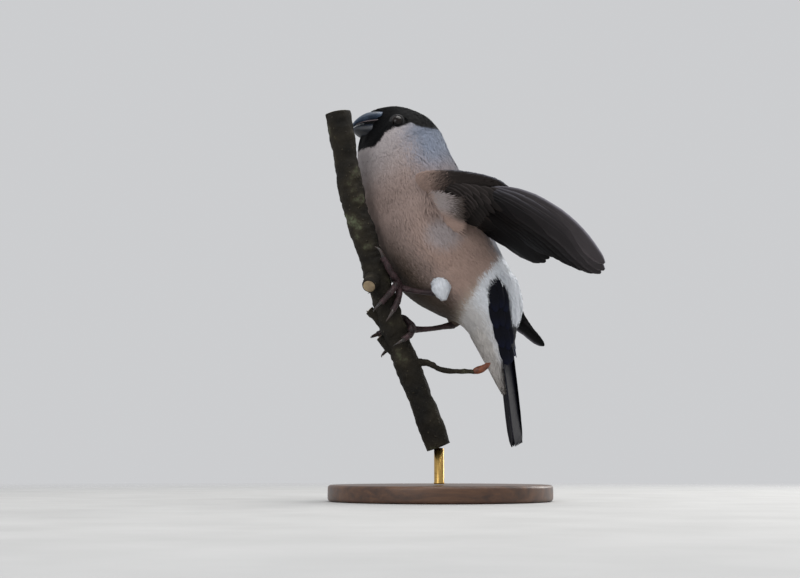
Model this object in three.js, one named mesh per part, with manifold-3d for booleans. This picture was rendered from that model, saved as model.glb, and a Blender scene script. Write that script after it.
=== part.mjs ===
// A life-size bullfinch that grips a short cut stem, held by a rod on a flat display base.
// Millimetres, +Z up, bill towards -X, the bird's left side towards -Y.
// The origin is the middle of the base's underside.
import * as THREE from 'three';
import { mergeVertices } from 'three/addons/utils/BufferGeometryUtils.js';
import Module from 'manifold-3d';

const wasm = await Module();
wasm.setup();

// Driving dimensions
const GAP = 0.35;
const BODY_SIDES = 24;
const RINGS_PER_STATION = 2;
const EYE_RADIUS = 2.6;
const EYE_PLACE = [-16.1, 8.9, 143.1];
const LID_RADIUS = 2.75;
const LID_TUBE = 0.5;
const VANE_THICKNESS = 0.8;
const COVERTS = 6;
const TOE_RADIUS = 1.15;
const CLAW_LENGTH = 5.2;
const TARSUS_RADIUS = 1.15;
const STEM_RADIUS = 4.6;
const STEM_SIDES = 10;
const BASE_RADIUS = 42;
const BASE_HEIGHT = 6;
const BASE_BEVEL = 1.2;
const ROD_RADIUS = 2;
const STEM_FOOT = 20;

// Body stations from the bill's root to the tail's root:
// back line x, z, then belly line x, z, then half width
const BODY_STATIONS = [
  [-28.0, 148.3, -30.3, 139.6, 1.5],
  [-25.6, 150.2, -31.0, 137.2, 2.6],
  [-21.6, 151.4, -31.4, 134.4, 3.9],
  [-16.2, 151.8, -31.5, 131.2, 7.2],
  [-10.3, 150.3, -31.7, 128.0, 11.0],
  [-4.0, 147.0, -31.6, 123.5, 13.4],
  [1.0, 141.0, -31.1, 118.8, 15.4],
  [4.6, 132.5, -30.1, 114.0, 17.9],
  [9.0, 124.1, -28.6, 107.5, 20.4],
  [14.3, 113.0, -26.4, 100.0, 22.2],
  [19.6, 102.1, -22.7, 90.4, 22.6],
  [24.2, 92.6, -16.5, 81.8, 21.2],
  [27.6, 86.2, -9.5, 75.2, 18.8],
  [30.0, 79.4, -1.0, 70.4, 15.4],
  [31.0, 72.4, 8.4, 66.0, 11.8],
  [29.4, 64.5, 14.6, 58.0, 8.6],
  [28.3, 56.0, 19.2, 50.0, 6.8],
  [28.6, 47.0, 23.0, 42.4, 4.6],
];
const HEAD_END = 5;
const NECK_END = 7.5;
const TORSO_END = 14.2;
const TAIL_ROOT_END = 17;
const CUT = 0.06;

// Middle line of the stem from its top to its foot
const STEM_LINE = [
  [-38.2, -18.7, 144.0],
  [-35.2, -17.0, 126.3],
  [-32.5, -16.0, 111.3],
  [-29.2, -15.0, 100.1],
  [-25.4, -14.0, 88.9],
  [-22.3, -13.0, 78.9],
  [-17.2, -11.6, 62.6],
  [-13.1, -10.7, 51.9],
  [-7.2, -9.5, 37.1],
  [-0.6, -8.2, STEM_FOOT],
];

// Share of a vane's width along its length, for long feathers and for short ones
const LONG_VANE = [[0, 0.55], [0.4, 1], [0.78, 0.93], [0.93, 0.6], [1, 0.14]];
const SHORT_VANE = [[0, 0.7], [0.6, 1], [0.88, 0.7], [1, 0.2]];

const point = (x, y, z) => new THREE.Vector3(x, y, z);
const mix = (a, b, t) => a.clone().lerp(b, t);
const curveOf = (points) => new THREE.CatmullRomCurve3(points, false, 'centripetal');
const evenCurve = (points) => new THREE.CatmullRomCurve3(points, false, 'catmullrom', 0.5);

// Solids

function signedVolume(positions, triangles) {
  const corner = (i) => point(...positions.slice(3 * i, 3 * i + 3));
  let sum = 0;
  for (let i = 0; i < triangles.length; i += 3) {
    const [a, b, c] = [corner(triangles[i]), corner(triangles[i + 1]), corner(triangles[i + 2])];
    sum += a.dot(b.cross(c));
  }
  return sum / 6;
}

function manifoldOf(positions, triangles) {
  return new wasm.Manifold(new wasm.Mesh({
    numProp: 3,
    vertProperties: Float32Array.from(positions),
    triVerts: Uint32Array.from(triangles),
  }));
}

function solidOf(geometry) {
  geometry.deleteAttribute('normal');
  geometry.deleteAttribute('uv');
  const merged = mergeVertices(geometry, 1e-4);
  return manifoldOf(merged.attributes.position.array, merged.index.array);
}

// Joins rings of points into one closed solid.
// Both wide faces of a flat ring are split along the same diagonal.
function loft(rings) {
  const sides = rings[0].length;
  const positions = rings.flat().flatMap((p) => [p.x, p.y, p.z]);
  const triangles = [];
  for (let i = 0; i + 1 < rings.length; i += 1) {
    for (let j = 0; j < sides; j += 1) {
      const a = i * sides + j;
      const b = i * sides + ((j + 1) % sides);
      const c = b + sides;
      const d = a + sides;
      if (j < sides / 2) triangles.push(a, b, c, a, c, d);
      else triangles.push(a, b, d, b, c, d);
    }
  }
  const last = (rings.length - 1) * sides;
  for (let j = 1; j + 1 < sides; j += 1) {
    triangles.push(0, j + 1, j);
    triangles.push(last, last + j, last + j + 1);
  }
  if (signedVolume(positions, triangles) < 0) triangles.reverse();
  return manifoldOf(positions, triangles);
}

function fuse(solids) {
  return solids.reduce((whole, solid) => whole.add(solid));
}

function largest(solid) {
  const bodies = solid.decompose();
  return bodies.reduce((best, body) => (body.volume() > best.volume() ? body : best));
}

function tube(points, radii, sides = 8, grow = 0, steps = 3 * (points.length - 1)) {
  const curve = curveOf(points);
  const frames = curve.computeFrenetFrames(steps, false);
  const rings = [];
  for (let i = 0; i <= steps; i += 1) {
    const t = i / steps;
    const place = t * (radii.length - 1);
    const low = Math.min(Math.floor(place), radii.length - 2);
    const radius = THREE.MathUtils.lerp(radii[low], radii[low + 1], place - low) + grow;
    const middle = curve.getPoint(t);
    rings.push(Array.from({ length: sides }, (_, j) => {
      const angle = (2 * Math.PI * j) / sides;
      return middle.clone()
        .addScaledVector(frames.normals[i], radius * Math.cos(angle))
        .addScaledVector(frames.binormals[i], radius * Math.sin(angle));
    }));
  }
  return loft(rings);
}

// A flat curved feather vane. face points out of its seen side, trail is the width
// on the side of along x face, and tilt lifts that side towards face.
function vane(feather, grow = 0) {
  const { points, face, lead, trail, tilt = 0, thickness = VANE_THICKNESS } = feather;
  const path = curveOf(points);
  const rings = (feather.profile ?? LONG_VANE).map(([t, share]) => {
    const middle = path.getPoint(t);
    const along = path.getTangent(t);
    const flat = new THREE.Vector3().crossVectors(along, face).normalize();
    const side = flat.applyAxisAngle(along, tilt);
    const up = new THREE.Vector3().crossVectors(side, along).normalize();
    const half = (thickness * (1 - 0.35 * t)) / 2 + grow;
    const front = middle.clone().addScaledVector(side, -lead * share - grow);
    const back = middle.clone().addScaledVector(side, trail * share + grow);
    return [
      front.clone().addScaledVector(up, half),
      back.clone().addScaledVector(up, half),
      back.clone().addScaledVector(up, -half),
      front.clone().addScaledVector(up, -half),
    ];
  });
  return loft(rings);
}

// Body

const backLine = evenCurve(BODY_STATIONS.map(([x, z]) => point(x, 0, z)));
const bellyLine = evenCurve(BODY_STATIONS.map(([, , x, z]) => point(x, 0, z)));
const widthLine = evenCurve(BODY_STATIONS.map(([, , , , w], i) => point(i, w, 0)));

function bodyRing(station, grow) {
  const t = station / (BODY_STATIONS.length - 1);
  const back = backLine.getPoint(t);
  const belly = bellyLine.getPoint(t);
  const middle = mix(back, belly, 0.5);
  const up = back.clone().sub(middle);
  const height = up.length() + grow;
  const width = widthLine.getPoint(t).y + grow;
  up.normalize();
  return Array.from({ length: BODY_SIDES }, (_, j) => {
    const angle = (2 * Math.PI * j) / BODY_SIDES;
    return middle.clone()
      .addScaledVector(up, height * Math.cos(angle))
      .add(point(0, width * Math.sin(angle), 0));
  });
}

function bodyLength(from, to, grow = 0) {
  const stations = [from];
  for (let k = Math.floor(from * RINGS_PER_STATION) + 1; k < to * RINGS_PER_STATION; k += 1) {
    stations.push(k / RINGS_PER_STATION);
  }
  const rings = [...stations, to].map((station) => bodyRing(station, grow));
  if (from === 0 && grow > 0) rings.unshift(rings[0].map((p) => p.clone().add(point(-grow, 0, 0))));
  return loft(rings);
}

const wholeBodyGrown = bodyLength(0, TORSO_END + CUT, GAP);

function eyeBall(side, grow = 0) {
  const [x, y, z] = EYE_PLACE;
  const ball = new THREE.SphereGeometry(EYE_RADIUS + grow, 14, 8);
  return solidOf(ball.translate(x, side * y, z));
}

function eyeLid(side) {
  const [x, y, z] = EYE_PLACE;
  const outward = point(-0.12, side, 0.1).normalize();
  const ring = new THREE.TorusGeometry(LID_RADIUS, LID_TUBE, 4, 12);
  ring.applyQuaternion(new THREE.Quaternion().setFromUnitVectors(point(0, 0, 1), outward));
  ring.translate(x + outward.x * 0.9, side * y + outward.y * 0.9, z + outward.z * 0.9);
  return solidOf(ring);
}

function headSolid() {
  const flesh = fuse([bodyLength(0, HEAD_END), eyeLid(-1), eyeLid(1)]);
  return largest(flesh.subtract(eyeBall(-1, GAP)).subtract(eyeBall(1, GAP)));
}

// White rump feathers that hang over the root of the tail
function rumpFeathers(grow = 0) {
  return [-2, -1, 0, 1, 2].map((row) => vane({
    points: [
      point(27.4 - 1.1 * Math.abs(row), 4.4 * row, 82),
      point(30.6 - 1.2 * Math.abs(row), 4.0 * row, 75),
      point(31.4 - 1.3 * Math.abs(row), 3.4 * row, 69),
      point(30.9 - 1.2 * Math.abs(row), 2.8 * row, 65 + 1.2 * Math.abs(row)),
    ],
    face: point(1, 0.16 * row, 0.1),
    lead: 3.2,
    trail: 3.2,
    thickness: 1.6,
    profile: SHORT_VANE,
  }, grow));
}

function torsoSolid() {
  return largest(fuse([bodyLength(NECK_END + CUT, TORSO_END), ...rumpFeathers()]));
}

// Bill: stations of upper line x, z, lower line x, z and half width
const UPPER_BILL = [
  [-21.5, 149.2, -22.5, 145.0, 5.0],
  [-24.6, 149.3, -24.6, 145.4, 5.0],
  [-27.6, 148.9, -27.2, 145.1, 4.7],
  [-30.2, 147.7, -29.8, 144.9, 3.8],
  [-32.4, 146.0, -32.0, 144.3, 2.6],
  [-33.9, 144.2, -33.5, 143.2, 1.1],
  [-34.4, 142.9, -34.1, 142.4, 0.35],
];
const LOWER_BILL = [
  [-22.5, 144.6, -22.5, 138.8, 5.2],
  [-24.6, 145.0, -25.6, 138.5, 5.2],
  [-27.2, 144.7, -28.2, 138.9, 4.7],
  [-29.8, 144.4, -30.7, 139.6, 3.8],
  [-31.8, 143.9, -32.5, 140.9, 2.6],
  [-33.2, 143.1, -33.5, 142.1, 1.0],
];

function billSolid(stations) {
  const rings = stations.map(([topX, topZ, lowX, lowZ, width]) => {
    const top = point(topX, 0, topZ);
    const low = point(lowX, 0, lowZ);
    const middle = mix(top, low, 0.5);
    const up = mix(top, low, 0.5).sub(low);
    return Array.from({ length: 12 }, (_, j) => {
      const angle = (2 * Math.PI * j) / 12;
      return middle.clone()
        .addScaledVector(up, Math.cos(angle))
        .add(point(0, width * Math.sin(angle), 0));
    });
  });
  return largest(loft(rings).subtract(wholeBodyGrown));
}

// Tail: closed, its feathers stacked from the middle pair outwards

function tailFeather(side, place) {
  const spread = 1.4 + 1.35 * place;
  const depth = 0.6 * place;
  return vane({
    points: [
      point(26.2 - 0.6 * depth, side * spread * 0.3, 70),
      point(27.0 - depth, side * spread * 0.55, 58),
      point(28.7 - depth, side * spread * 0.8, 42),
      point(30.8 - depth, side * spread, 21.6 - 0.3 * place),
    ],
    face: point(1, side * 0.22, 0.08),
    lead: side < 0 ? 3.6 : 2.6,
    trail: side < 0 ? 2.6 : 3.6,
    tilt: side * 0.1,
  });
}

function upperTailCovert(side, place) {
  return vane({
    points: [
      point(26.2 - 1.3 * place, side * 2.6 * place, 78),
      point(27.6 - 1.3 * place, side * 3.0 * place, 66),
      point(29.2 - 1.4 * place, side * 2.4 * place, 52 + 1.5 * place),
    ],
    face: point(1, side * 0.5 * place, 0.1),
    lead: 3,
    trail: 3,
    thickness: 1.1,
    profile: SHORT_VANE,
  });
}

function underTailCovert(side, row, place) {
  return vane({
    points: [
      point(12.5 + 2.6 * row + 0.8 * place, side * 2.6 * place, 62.5 - 4.5 * row),
      point(17.2 + 2.4 * row + 0.8 * place, side * 2.5 * place, 53 - 4.2 * row),
      point(21.6 + 1.5 * row + 0.6 * place, side * 1.7 * place, 45.8 - 4.1 * row),
    ],
    face: point(-0.86, side * 0.3 * place, -0.5),
    lead: 3,
    trail: 3,
    thickness: 1.2,
    profile: SHORT_VANE,
  });
}

function tailSolid() {
  const feathers = [bodyLength(TORSO_END - 1, TAIL_ROOT_END, -0.6)];
  for (const side of [-1, 1]) {
    for (let place = 0; place < 6; place += 1) feathers.push(tailFeather(side, place));
    for (let place = 0; place < 3; place += 1) feathers.push(upperTailCovert(side, place));
    for (const row of [0, 1, 2]) {
      feathers.push(underTailCovert(side, row, 0.4), underTailCovert(side, row, 1.5));
    }
  }
  const cutter = fuse([wholeBodyGrown, ...rumpFeathers(GAP)]);
  return largest(fuse(feathers).subtract(cutter));
}

// Left wing: half open, raised and swept back, its underside turned to -Y

const UNDERSIDE = point(-0.5, -0.66, -0.56).normalize();
const LEFT_PRIMARY_TIPS = [
  [40.5, -20, 90.0], [42.6, -25, 88.4], [45.0, -31, 86.2], [47.7, -36.5, 83.4], [50.2, -42, 81.0],
  [52.4, -46.5, 79.3], [54.0, -50, 78.6], [54.9, -52.5, 79.4], [54.7, -54.5, 81.4],
];
const LEFT_SECONDARY_TIPS = [
  [40.0, -17, 88.8], [38.9, -14.5, 87.8], [37.2, -13, 87.9], [35.1, -12, 89.2], [32.4, -12, 91.4],
  [29.0, -12, 93.8],
];
const LEFT_TERTIAL_TIPS = [[25.3, -14, 96.2], [22.4, -16, 98.2], [19.7, -18, 99.8]];

function wingFeather(base, tip, { bow, lead, trail, lift, tilt = -0.1, profile }) {
  const root = base.clone().addScaledVector(UNDERSIDE, lift);
  const end = tip.clone().addScaledVector(UNDERSIDE, lift * 0.6);
  const along = mix(end, root, 0).sub(root).normalize();
  const forward = new THREE.Vector3().crossVectors(UNDERSIDE, along).normalize();
  const bowed = (t, share) => mix(root, end, t).addScaledVector(forward, bow * share);
  return vane({
    points: [root, bowed(0.3, 0.85), bowed(0.65, 0.95), end],
    face: UNDERSIDE,
    lead,
    trail,
    tilt,
    profile,
  });
}

function leftWingFeathers() {
  const feathers = [];
  const row = (tips, from, to, make) => tips.forEach((tip, i) => {
    const t = tips.length > 1 ? i / (tips.length - 1) : 0;
    feathers.push(make(mix(from, to, t), tip, t));
  });
  const pointsOf = (list) => list.map((values) => point(...values));
  const handRoot = point(4, -26, 115.2);
  const handEnd = point(17.5, -31, 112.6);
  const elbow = point(2.5, -22, 108.5);
  const armpit = point(-1.5, -21, 108.2);

  row(pointsOf(LEFT_PRIMARY_TIPS), handRoot, handEnd, (base, tip, t) => (
    wingFeather(base, tip, {
      bow: 1.5 + 5.2 * t * t, lead: 2.4, trail: 5.4, lift: -0.4 + 0.9 * t,
    })
  ));
  row(pointsOf(LEFT_SECONDARY_TIPS), point(3, -25, 114.4), elbow, (base, tip) => (
    wingFeather(base, tip, { bow: 0.8, lead: 3.2, trail: 5.2, lift: -0.6 })
  ));
  row(pointsOf(LEFT_TERTIAL_TIPS), elbow, armpit, (base, tip) => (
    wingFeather(base, tip, { bow: 0.5, lead: 3.6, trail: 4.4, lift: -0.8 })
  ));

  // Under coverts over the roots of the flight feathers, then the axillary tufts
  const span = curveOf([point(19, -32, 112.2), handRoot, point(1, -23.5, 110.5), armpit]);
  const tipSpan = curveOf([point(33, -38, 104.8), point(18, -27, 103.5), point(14, -21, 100.5),
    point(11, -20, 102.2)]);
  const covert = { bow: 0.3, lead: 3.2, trail: 3.6, profile: SHORT_VANE };
  for (let i = 0; i < COVERTS; i += 1) {
    const t = (i + 0.3) / COVERTS;
    const base = span.getPoint(t);
    const tip = tipSpan.getPoint(t);
    feathers.push(wingFeather(base, tip, { ...covert, lift: 1.1 }));
    feathers.push(wingFeather(base, mix(base, tip, 0.55), { ...covert, lift: 1.9 }));
    feathers.push(wingFeather(base, tip, { ...covert, lift: -1.6, tilt: 0.1 }));
    feathers.push(wingFeather(base, mix(base, tip, 0.55), { ...covert, lift: -2.3, tilt: 0.1 }));
  }
  return feathers;
}

function leftWingSolid() {
  const arm = tube(
    [point(-8, -15, 114.5), point(-2, -21.5, 115), point(6, -26, 115.6), point(19, -31.8, 113)],
    [5.2, 3.8, 2.6, 1.2],
    10,
  );
  const inner = vane({
    points: [point(-7, -19, 113), point(0, -22.6, 112.6), point(8, -26.4, 112), point(19, -32, 111.6)],
    face: UNDERSIDE,
    lead: 4.5,
    trail: 5.5,
    thickness: 3.2,
  });
  const joined = fuse([arm, inner, ...leftWingFeathers()]);
  return largest(joined.subtract(wholeBodyGrown));
}

// Right wing: folded against the far side. Feathers are laid out on a sheet
// with u from shoulder to tip and v from its lower edge to its upper edge.

const foldedMiddle = evenCurve([
  point(-6, 18.6, 116), point(4.5, 21.4, 104), point(16.5, 20.6, 88.8), point(30, 18.6, 71.6),
  point(42, 17.6, 60.0),
]);
const FOLDED_HALF_WIDTH = [9, 11, 9.5, 3.6, 1.6];

function foldedPoint(u, v, lift = 0) {
  const t = THREE.MathUtils.clamp(u, 0, 1);
  const place = t * (FOLDED_HALF_WIDTH.length - 1);
  const low = Math.min(Math.floor(place), FOLDED_HALF_WIDTH.length - 2);
  const half = THREE.MathUtils.lerp(
    FOLDED_HALF_WIDTH[low],
    FOLDED_HALF_WIDTH[low + 1],
    place - low,
  );
  const inward = 0.42 * half * v * Math.abs(v);
  return foldedMiddle.getPoint(t)
    .addScaledVector(point(0.77, 0, 0.64), half * v)
    .add(point(0, (v > 0 ? -inward : inward * 0.35) + lift, 0));
}

function foldedFeather(from, to, width, lift, profile) {
  const at = (t) => foldedPoint(
    THREE.MathUtils.lerp(from[0], to[0], t),
    THREE.MathUtils.lerp(from[1], to[1], t),
    THREE.MathUtils.lerp(lift, lift * 0.7, t),
  );
  const slope = (to[1] + from[1]) / 2;
  return vane({
    points: [at(0), at(0.35), at(0.7), at(1)],
    face: point(0.3 * slope + 0.1, 1, 0.25 * slope + 0.1),
    lead: width,
    trail: width,
    tilt: -0.07,
    profile,
  });
}

function rightWingSolid() {
  const feathers = [];
  for (let i = 0; i < 9; i += 1) {
    const tip = [1 - 0.028 * i, -0.2 + 0.12 * i];
    feathers.push(foldedFeather([0.3, -0.45 + 0.05 * i], tip, 2.4, -0.4 + 0.13 * i));
  }
  for (let i = 0; i < 6; i += 1) {
    const tip = [0.66 - 0.012 * i, -0.42 + 0.2 * i];
    feathers.push(foldedFeather([0.2, -0.6 + 0.16 * i], tip, 3.2, 0.9 + 0.15 * i));
  }
  for (let i = 0; i < 3; i += 1) {
    feathers.push(foldedFeather([0.16, 0.2 + 0.2 * i], [0.6 - 0.07 * i, 0.62 + 0.1 * i], 3.4, 1.9));
  }
  for (let i = 0; i < 7; i += 1) {
    const v = -0.8 + 0.26 * i;
    feathers.push(foldedFeather([0.1, v * 0.9], [0.36 - 0.01 * i, v], 3.2, 2.5, SHORT_VANE));
    feathers.push(foldedFeather([0.02, v * 0.8], [0.22, v * 0.95], 3.1, 3.2, SHORT_VANE));
  }
  const coreRings = Array.from({ length: 9 }, (_, i) => {
    const u = 0.78 * (i / 8);
    const share = 0.9 * (1 - 0.35 * u);
    return [
      foldedPoint(u, -share, 0.4), foldedPoint(u, 0, 0.9), foldedPoint(u, share, 0.4),
      foldedPoint(u, share, -2.4 + 2.2 * u), foldedPoint(u, 0, -4.2 + 4.2 * u),
      foldedPoint(u, -share, -3.6 + 3.6 * u),
    ];
  });
  return largest(fuse([loft(coreRings), ...feathers]).subtract(wholeBodyGrown));
}

// Stem that the bird grips

const stemCurve = curveOf(STEM_LINE.map((values) => point(...values)));

function stemAt(height) {
  let low = 0;
  let high = 1;
  for (let i = 0; i < 30; i += 1) {
    const middle = (low + high) / 2;
    if (stemCurve.getPoint(middle).z > height) low = middle;
    else high = middle;
  }
  const axis = stemCurve.getTangent(low).negate();
  const right = point(1, 0, 0).addScaledVector(axis, -axis.x).normalize();
  const near = new THREE.Vector3().crossVectors(right, axis).normalize();
  return { middle: stemCurve.getPoint(low), right, near };
}

// A place around the stem: 0 degrees is its right side, 90 its near side
function onStem(height, degrees, distance) {
  const { middle, right, near } = stemAt(height);
  const angle = THREE.MathUtils.degToRad(degrees);
  return middle.clone()
    .addScaledVector(right, distance * Math.cos(angle))
    .addScaledVector(near, distance * Math.sin(angle));
}

function stemSolid(grow = 0) {
  const knots = Array.from({ length: 19 }, (_, i) => STEM_RADIUS + 0.35 * Math.sin(2.3 * i));
  const stem = tube(STEM_LINE.map((v) => point(...v)), knots, STEM_SIDES, grow, 18);
  const stub = tube(
    [point(-24.0, -14, 82.5), point(-25.4, -18.2, 80.4), point(-26.3, -21.6, 77.9)],
    [3.2, 2.9, 2.7],
    10,
    grow,
  );
  const leftTwig = tube(
    [point(-18.6, -11.6, 62), point(-23.2, -12.2, 67.4), point(-26.4, -12.4, 70.2)],
    [2.4, 1.9, 1.8],
    8,
    grow,
  );
  const lowTwig = tube(
    [point(-13.5, -11, 52.5), point(-18.7, -11.4, 56.0), point(-22.6, -11.6, 60.2)],
    [2.2, 1.7, 1.5],
    8,
    grow,
  );
  const rightTwig = tube(
    [point(-11.6, -11, 50), point(-5.4, -12.2, 50.8), point(0.8, -14, 47.9), point(12.4, -15, 47.2),
      point(18.2, -16, 50.2)],
    [2.4, 2.0, 1.6, 1.4, 0.7],
    8,
    grow,
  );
  const floor = new THREE.BoxGeometry(60, 60, 20).translate(0, 0, STEM_FOOT - 10 - grow);
  return largest(fuse([stem, stub, leftTwig, lowTwig, rightTwig]).subtract(solidOf(floor)));
}

// Legs and feet

const GRIP = STEM_RADIUS + 0.35 + TOE_RADIUS + GAP;
const LEGS = {
  left: {
    hip: [1.5, -14.0, 86],
    knee: [2.4, -15.6, 81],
    ankle: [-0.9, -16.6, 76.2],
    foot: [-15.6, -12.6, 78.8],
    toes: {
      toe_up: [[79, 8], [82.5, 34], [88.5, 52]],
      toe_middle: [[79, 8], [76.6, 48], [73.2, 102]],
      toe_low: [[78, 6], [73.0, 36], [69.4, 74]],
      toe_back: [[79, 4], [80.4, -42], [79.2, -96]],
    },
  },
  right: {
    hip: [8.0, 11.5, 78],
    knee: [7.8, 9.5, 73.5],
    ankle: [4.3, 5.0, 66.6],
    foot: [-10.6, -6.8, 63.6],
    toes: {
      toe_up: [[63.6, -8], [67.0, -62], [70.4, -128]],
      toe_middle: [[63.6, -10], [64.4, -72], [63.4, -158]],
      toe_low: [[63, -8], [60.4, -66], [57.4, -132]],
      toe_back: [[63, -2], [59.6, 30], [58.6, 72]],
    },
  },
};

const pointAt = (values) => point(...values);

function tarsusSolid(leg, grow = 0) {
  const ankle = pointAt(leg.ankle);
  const foot = pointAt(leg.foot);
  const middle = mix(ankle, foot, 0.5).add(point(0, 0, -0.5));
  const radii = [TARSUS_RADIUS * 1.35, TARSUS_RADIUS * 0.9, TARSUS_RADIUS, TARSUS_RADIUS * 1.3];
  return tube([ankle, middle, foot], radii, 10, grow, 8);
}

function thighSolid(leg) {
  const path = [leg.hip, leg.knee, leg.ankle].map(pointAt);
  const tuft = vane({
    points: [path[1], mix(path[1], path[2], 0.6), path[2].clone().add(point(0.9, 0, -4.2))],
    face: point(0.1, Math.sign(leg.hip[1]), 0),
    lead: 2.6,
    trail: 2.6,
    thickness: 3.4,
  });
  const muscle = tube(path, [6.6, 5.4, 4.2, 2.6], 14, 0, 8);
  return largest(fuse([muscle, tuft]).subtract(wholeBodyGrown).subtract(tarsusSolid(leg, GAP)));
}

function toePath(steps) {
  const [[rootZ, rootTurn], ...rest] = steps;
  const points = [onStem(rootZ, rootTurn, GRIP + 0.9)];
  let last = [rootZ, rootTurn];
  for (const step of rest) {
    points.push(onStem((last[0] + step[0]) / 2, (last[1] + step[1]) / 2, GRIP + 0.15));
    points.push(onStem(step[0], step[1], GRIP));
    last = step;
  }
  return points;
}

function toeSolid(steps, grow = 0) {
  const radii = [1.35, 1.1, 1.25, 1.0, 1.15, 1.0, 0.95].map((share) => share * TOE_RADIUS);
  return tube(toePath(steps), radii, 6, grow, 6);
}

function clawSolid(steps) {
  const path = toePath(steps);
  const end = path[path.length - 1];
  const ahead = end.clone().sub(path[path.length - 2]).normalize();
  const [height, turn] = steps[steps.length - 1];
  const outward = onStem(height, turn, 1).sub(onStem(height, turn, 0));
  const points = [
    end.clone().addScaledVector(ahead, -0.6).addScaledVector(outward, 0.1),
    end.clone().addScaledVector(ahead, CLAW_LENGTH * 0.3).addScaledVector(outward, 0.9),
    end.clone().addScaledVector(ahead, CLAW_LENGTH * 0.7).addScaledVector(outward, 0.6),
    end.clone().addScaledVector(ahead, CLAW_LENGTH).addScaledVector(outward, -0.6),
  ];
  return tube(points, [0.85, 0.75, 0.5, 0.14], 6, 0, 5);
}

const grownStem = stemSolid(GAP);

function footSolid(leg) {
  const pad = solidOf(new THREE.SphereGeometry(2.1, 10, 6).translate(...leg.foot));
  const toes = Object.values(leg.toes).map((steps) => toeSolid(steps));
  const joined = fuse([pad, ...toes]);
  return largest(joined.subtract(grownStem).subtract(tarsusSolid(leg, GAP)));
}

function looseClaw(leg, steps) {
  const toes = Object.values(leg.toes).map((other) => toeSolid(other, GAP));
  return largest(clawSolid(steps).subtract(fuse([...toes, grownStem])));
}

// Display stand

function baseSolid() {
  const outline = new THREE.Shape().absarc(0, 0, BASE_RADIUS - BASE_BEVEL, 0, 2 * Math.PI);
  return solidOf(new THREE.ExtrudeGeometry(outline, {
    depth: BASE_HEIGHT - 2 * BASE_BEVEL,
    bevelThickness: BASE_BEVEL,
    bevelSize: BASE_BEVEL,
    bevelSegments: 2,
    curveSegments: 18,
  }));
}

function rodSolid() {
  const height = STEM_FOOT - BASE_HEIGHT - 2 * GAP;
  const rod = new THREE.CylinderGeometry(ROD_RADIUS, ROD_RADIUS, height, 20).rotateX(Math.PI / 2);
  return solidOf(rod);
}

// Scene

const look = (color, roughness, metalness = 0) => (
  new THREE.MeshStandardMaterial({ color, roughness, metalness })
);
const LOOKS = {
  cap: look('#15161b', 0.6),
  back: look('#67707f', 0.85),
  breast: look('#7c6c68', 0.9),
  flight: look('#1d1b1d', 0.6),
  tail: look('#17181f', 0.5),
  tuft: look('#b4b9c4', 0.9),
  bill: look('#1a1e26', 0.4),
  eye: look('#070608', 0.08),
  leg: look('#3a3030', 0.6),
  claw: look('#6b5d55', 0.45),
  bark: look('#2b2820', 0.95),
  plate: look('#33261c', 0.5),
  rod: look('#b4975a', 0.3, 1),
};

const model = new THREE.Group();

function geometryOf(solid) {
  const { vertProperties, triVerts } = solid.getMesh();
  const geometry = new THREE.BufferGeometry();
  geometry.setAttribute('position', new THREE.BufferAttribute(vertProperties, 3));
  geometry.setIndex(new THREE.BufferAttribute(triVerts, 1));
  geometry.computeVertexNormals();
  return geometry;
}

function addPart(name, solid, material, position = [0, 0, 0]) {
  const mesh = new THREE.Mesh(geometryOf(solid), material);
  mesh.name = name;
  mesh.position.set(...position);
  model.add(mesh);
}

addPart('head', headSolid(), LOOKS.cap);
addPart('neck', bodyLength(HEAD_END + CUT, NECK_END), LOOKS.back);
addPart('torso', torsoSolid(), LOOKS.breast);
addPart('tail', tailSolid(), LOOKS.tail);
addPart('wing_left', leftWingSolid(), LOOKS.flight);
addPart('wing_right', rightWingSolid(), LOOKS.flight);
addPart('bill_upper', billSolid(UPPER_BILL), LOOKS.bill);
addPart('bill_lower', billSolid(LOWER_BILL), LOOKS.bill);
addPart('eye_left', eyeBall(-1), LOOKS.eye);
addPart('eye_right', eyeBall(1), LOOKS.eye);
for (const [side, leg] of Object.entries(LEGS)) {
  addPart(`thigh_${side}`, thighSolid(leg), LOOKS.tuft);
  addPart(`tarsus_${side}`, tarsusSolid(leg), LOOKS.leg);
  addPart(`foot_${side}`, footSolid(leg), LOOKS.leg);
  for (const [name, steps] of Object.entries(leg.toes)) {
    addPart(`claw_${side}_${name}`, looseClaw(leg, steps), LOOKS.claw);
  }
}
addPart('perch', stemSolid(), LOOKS.bark);
addPart('stand_base', baseSolid(), LOOKS.plate, [0, 0, BASE_BEVEL]);
const [stemX, stemY] = STEM_LINE[STEM_LINE.length - 1];
addPart('stand_rod', rodSolid(), LOOKS.rod, [stemX, stemY, (BASE_HEIGHT + STEM_FOOT) / 2]);

export default model;
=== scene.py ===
# %% [markdown]
# A bullfinch grips a short stem on a display stand. The solid frame gives every size and place,
# and this script dresses it: skin, feathers, horn, bark, wood and brass.
# Lengths are written in millimetres and turned into metres only when a mesh is made,
# because a small bird is easier to think about in millimetres.

# %% Load the frame
import math

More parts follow.
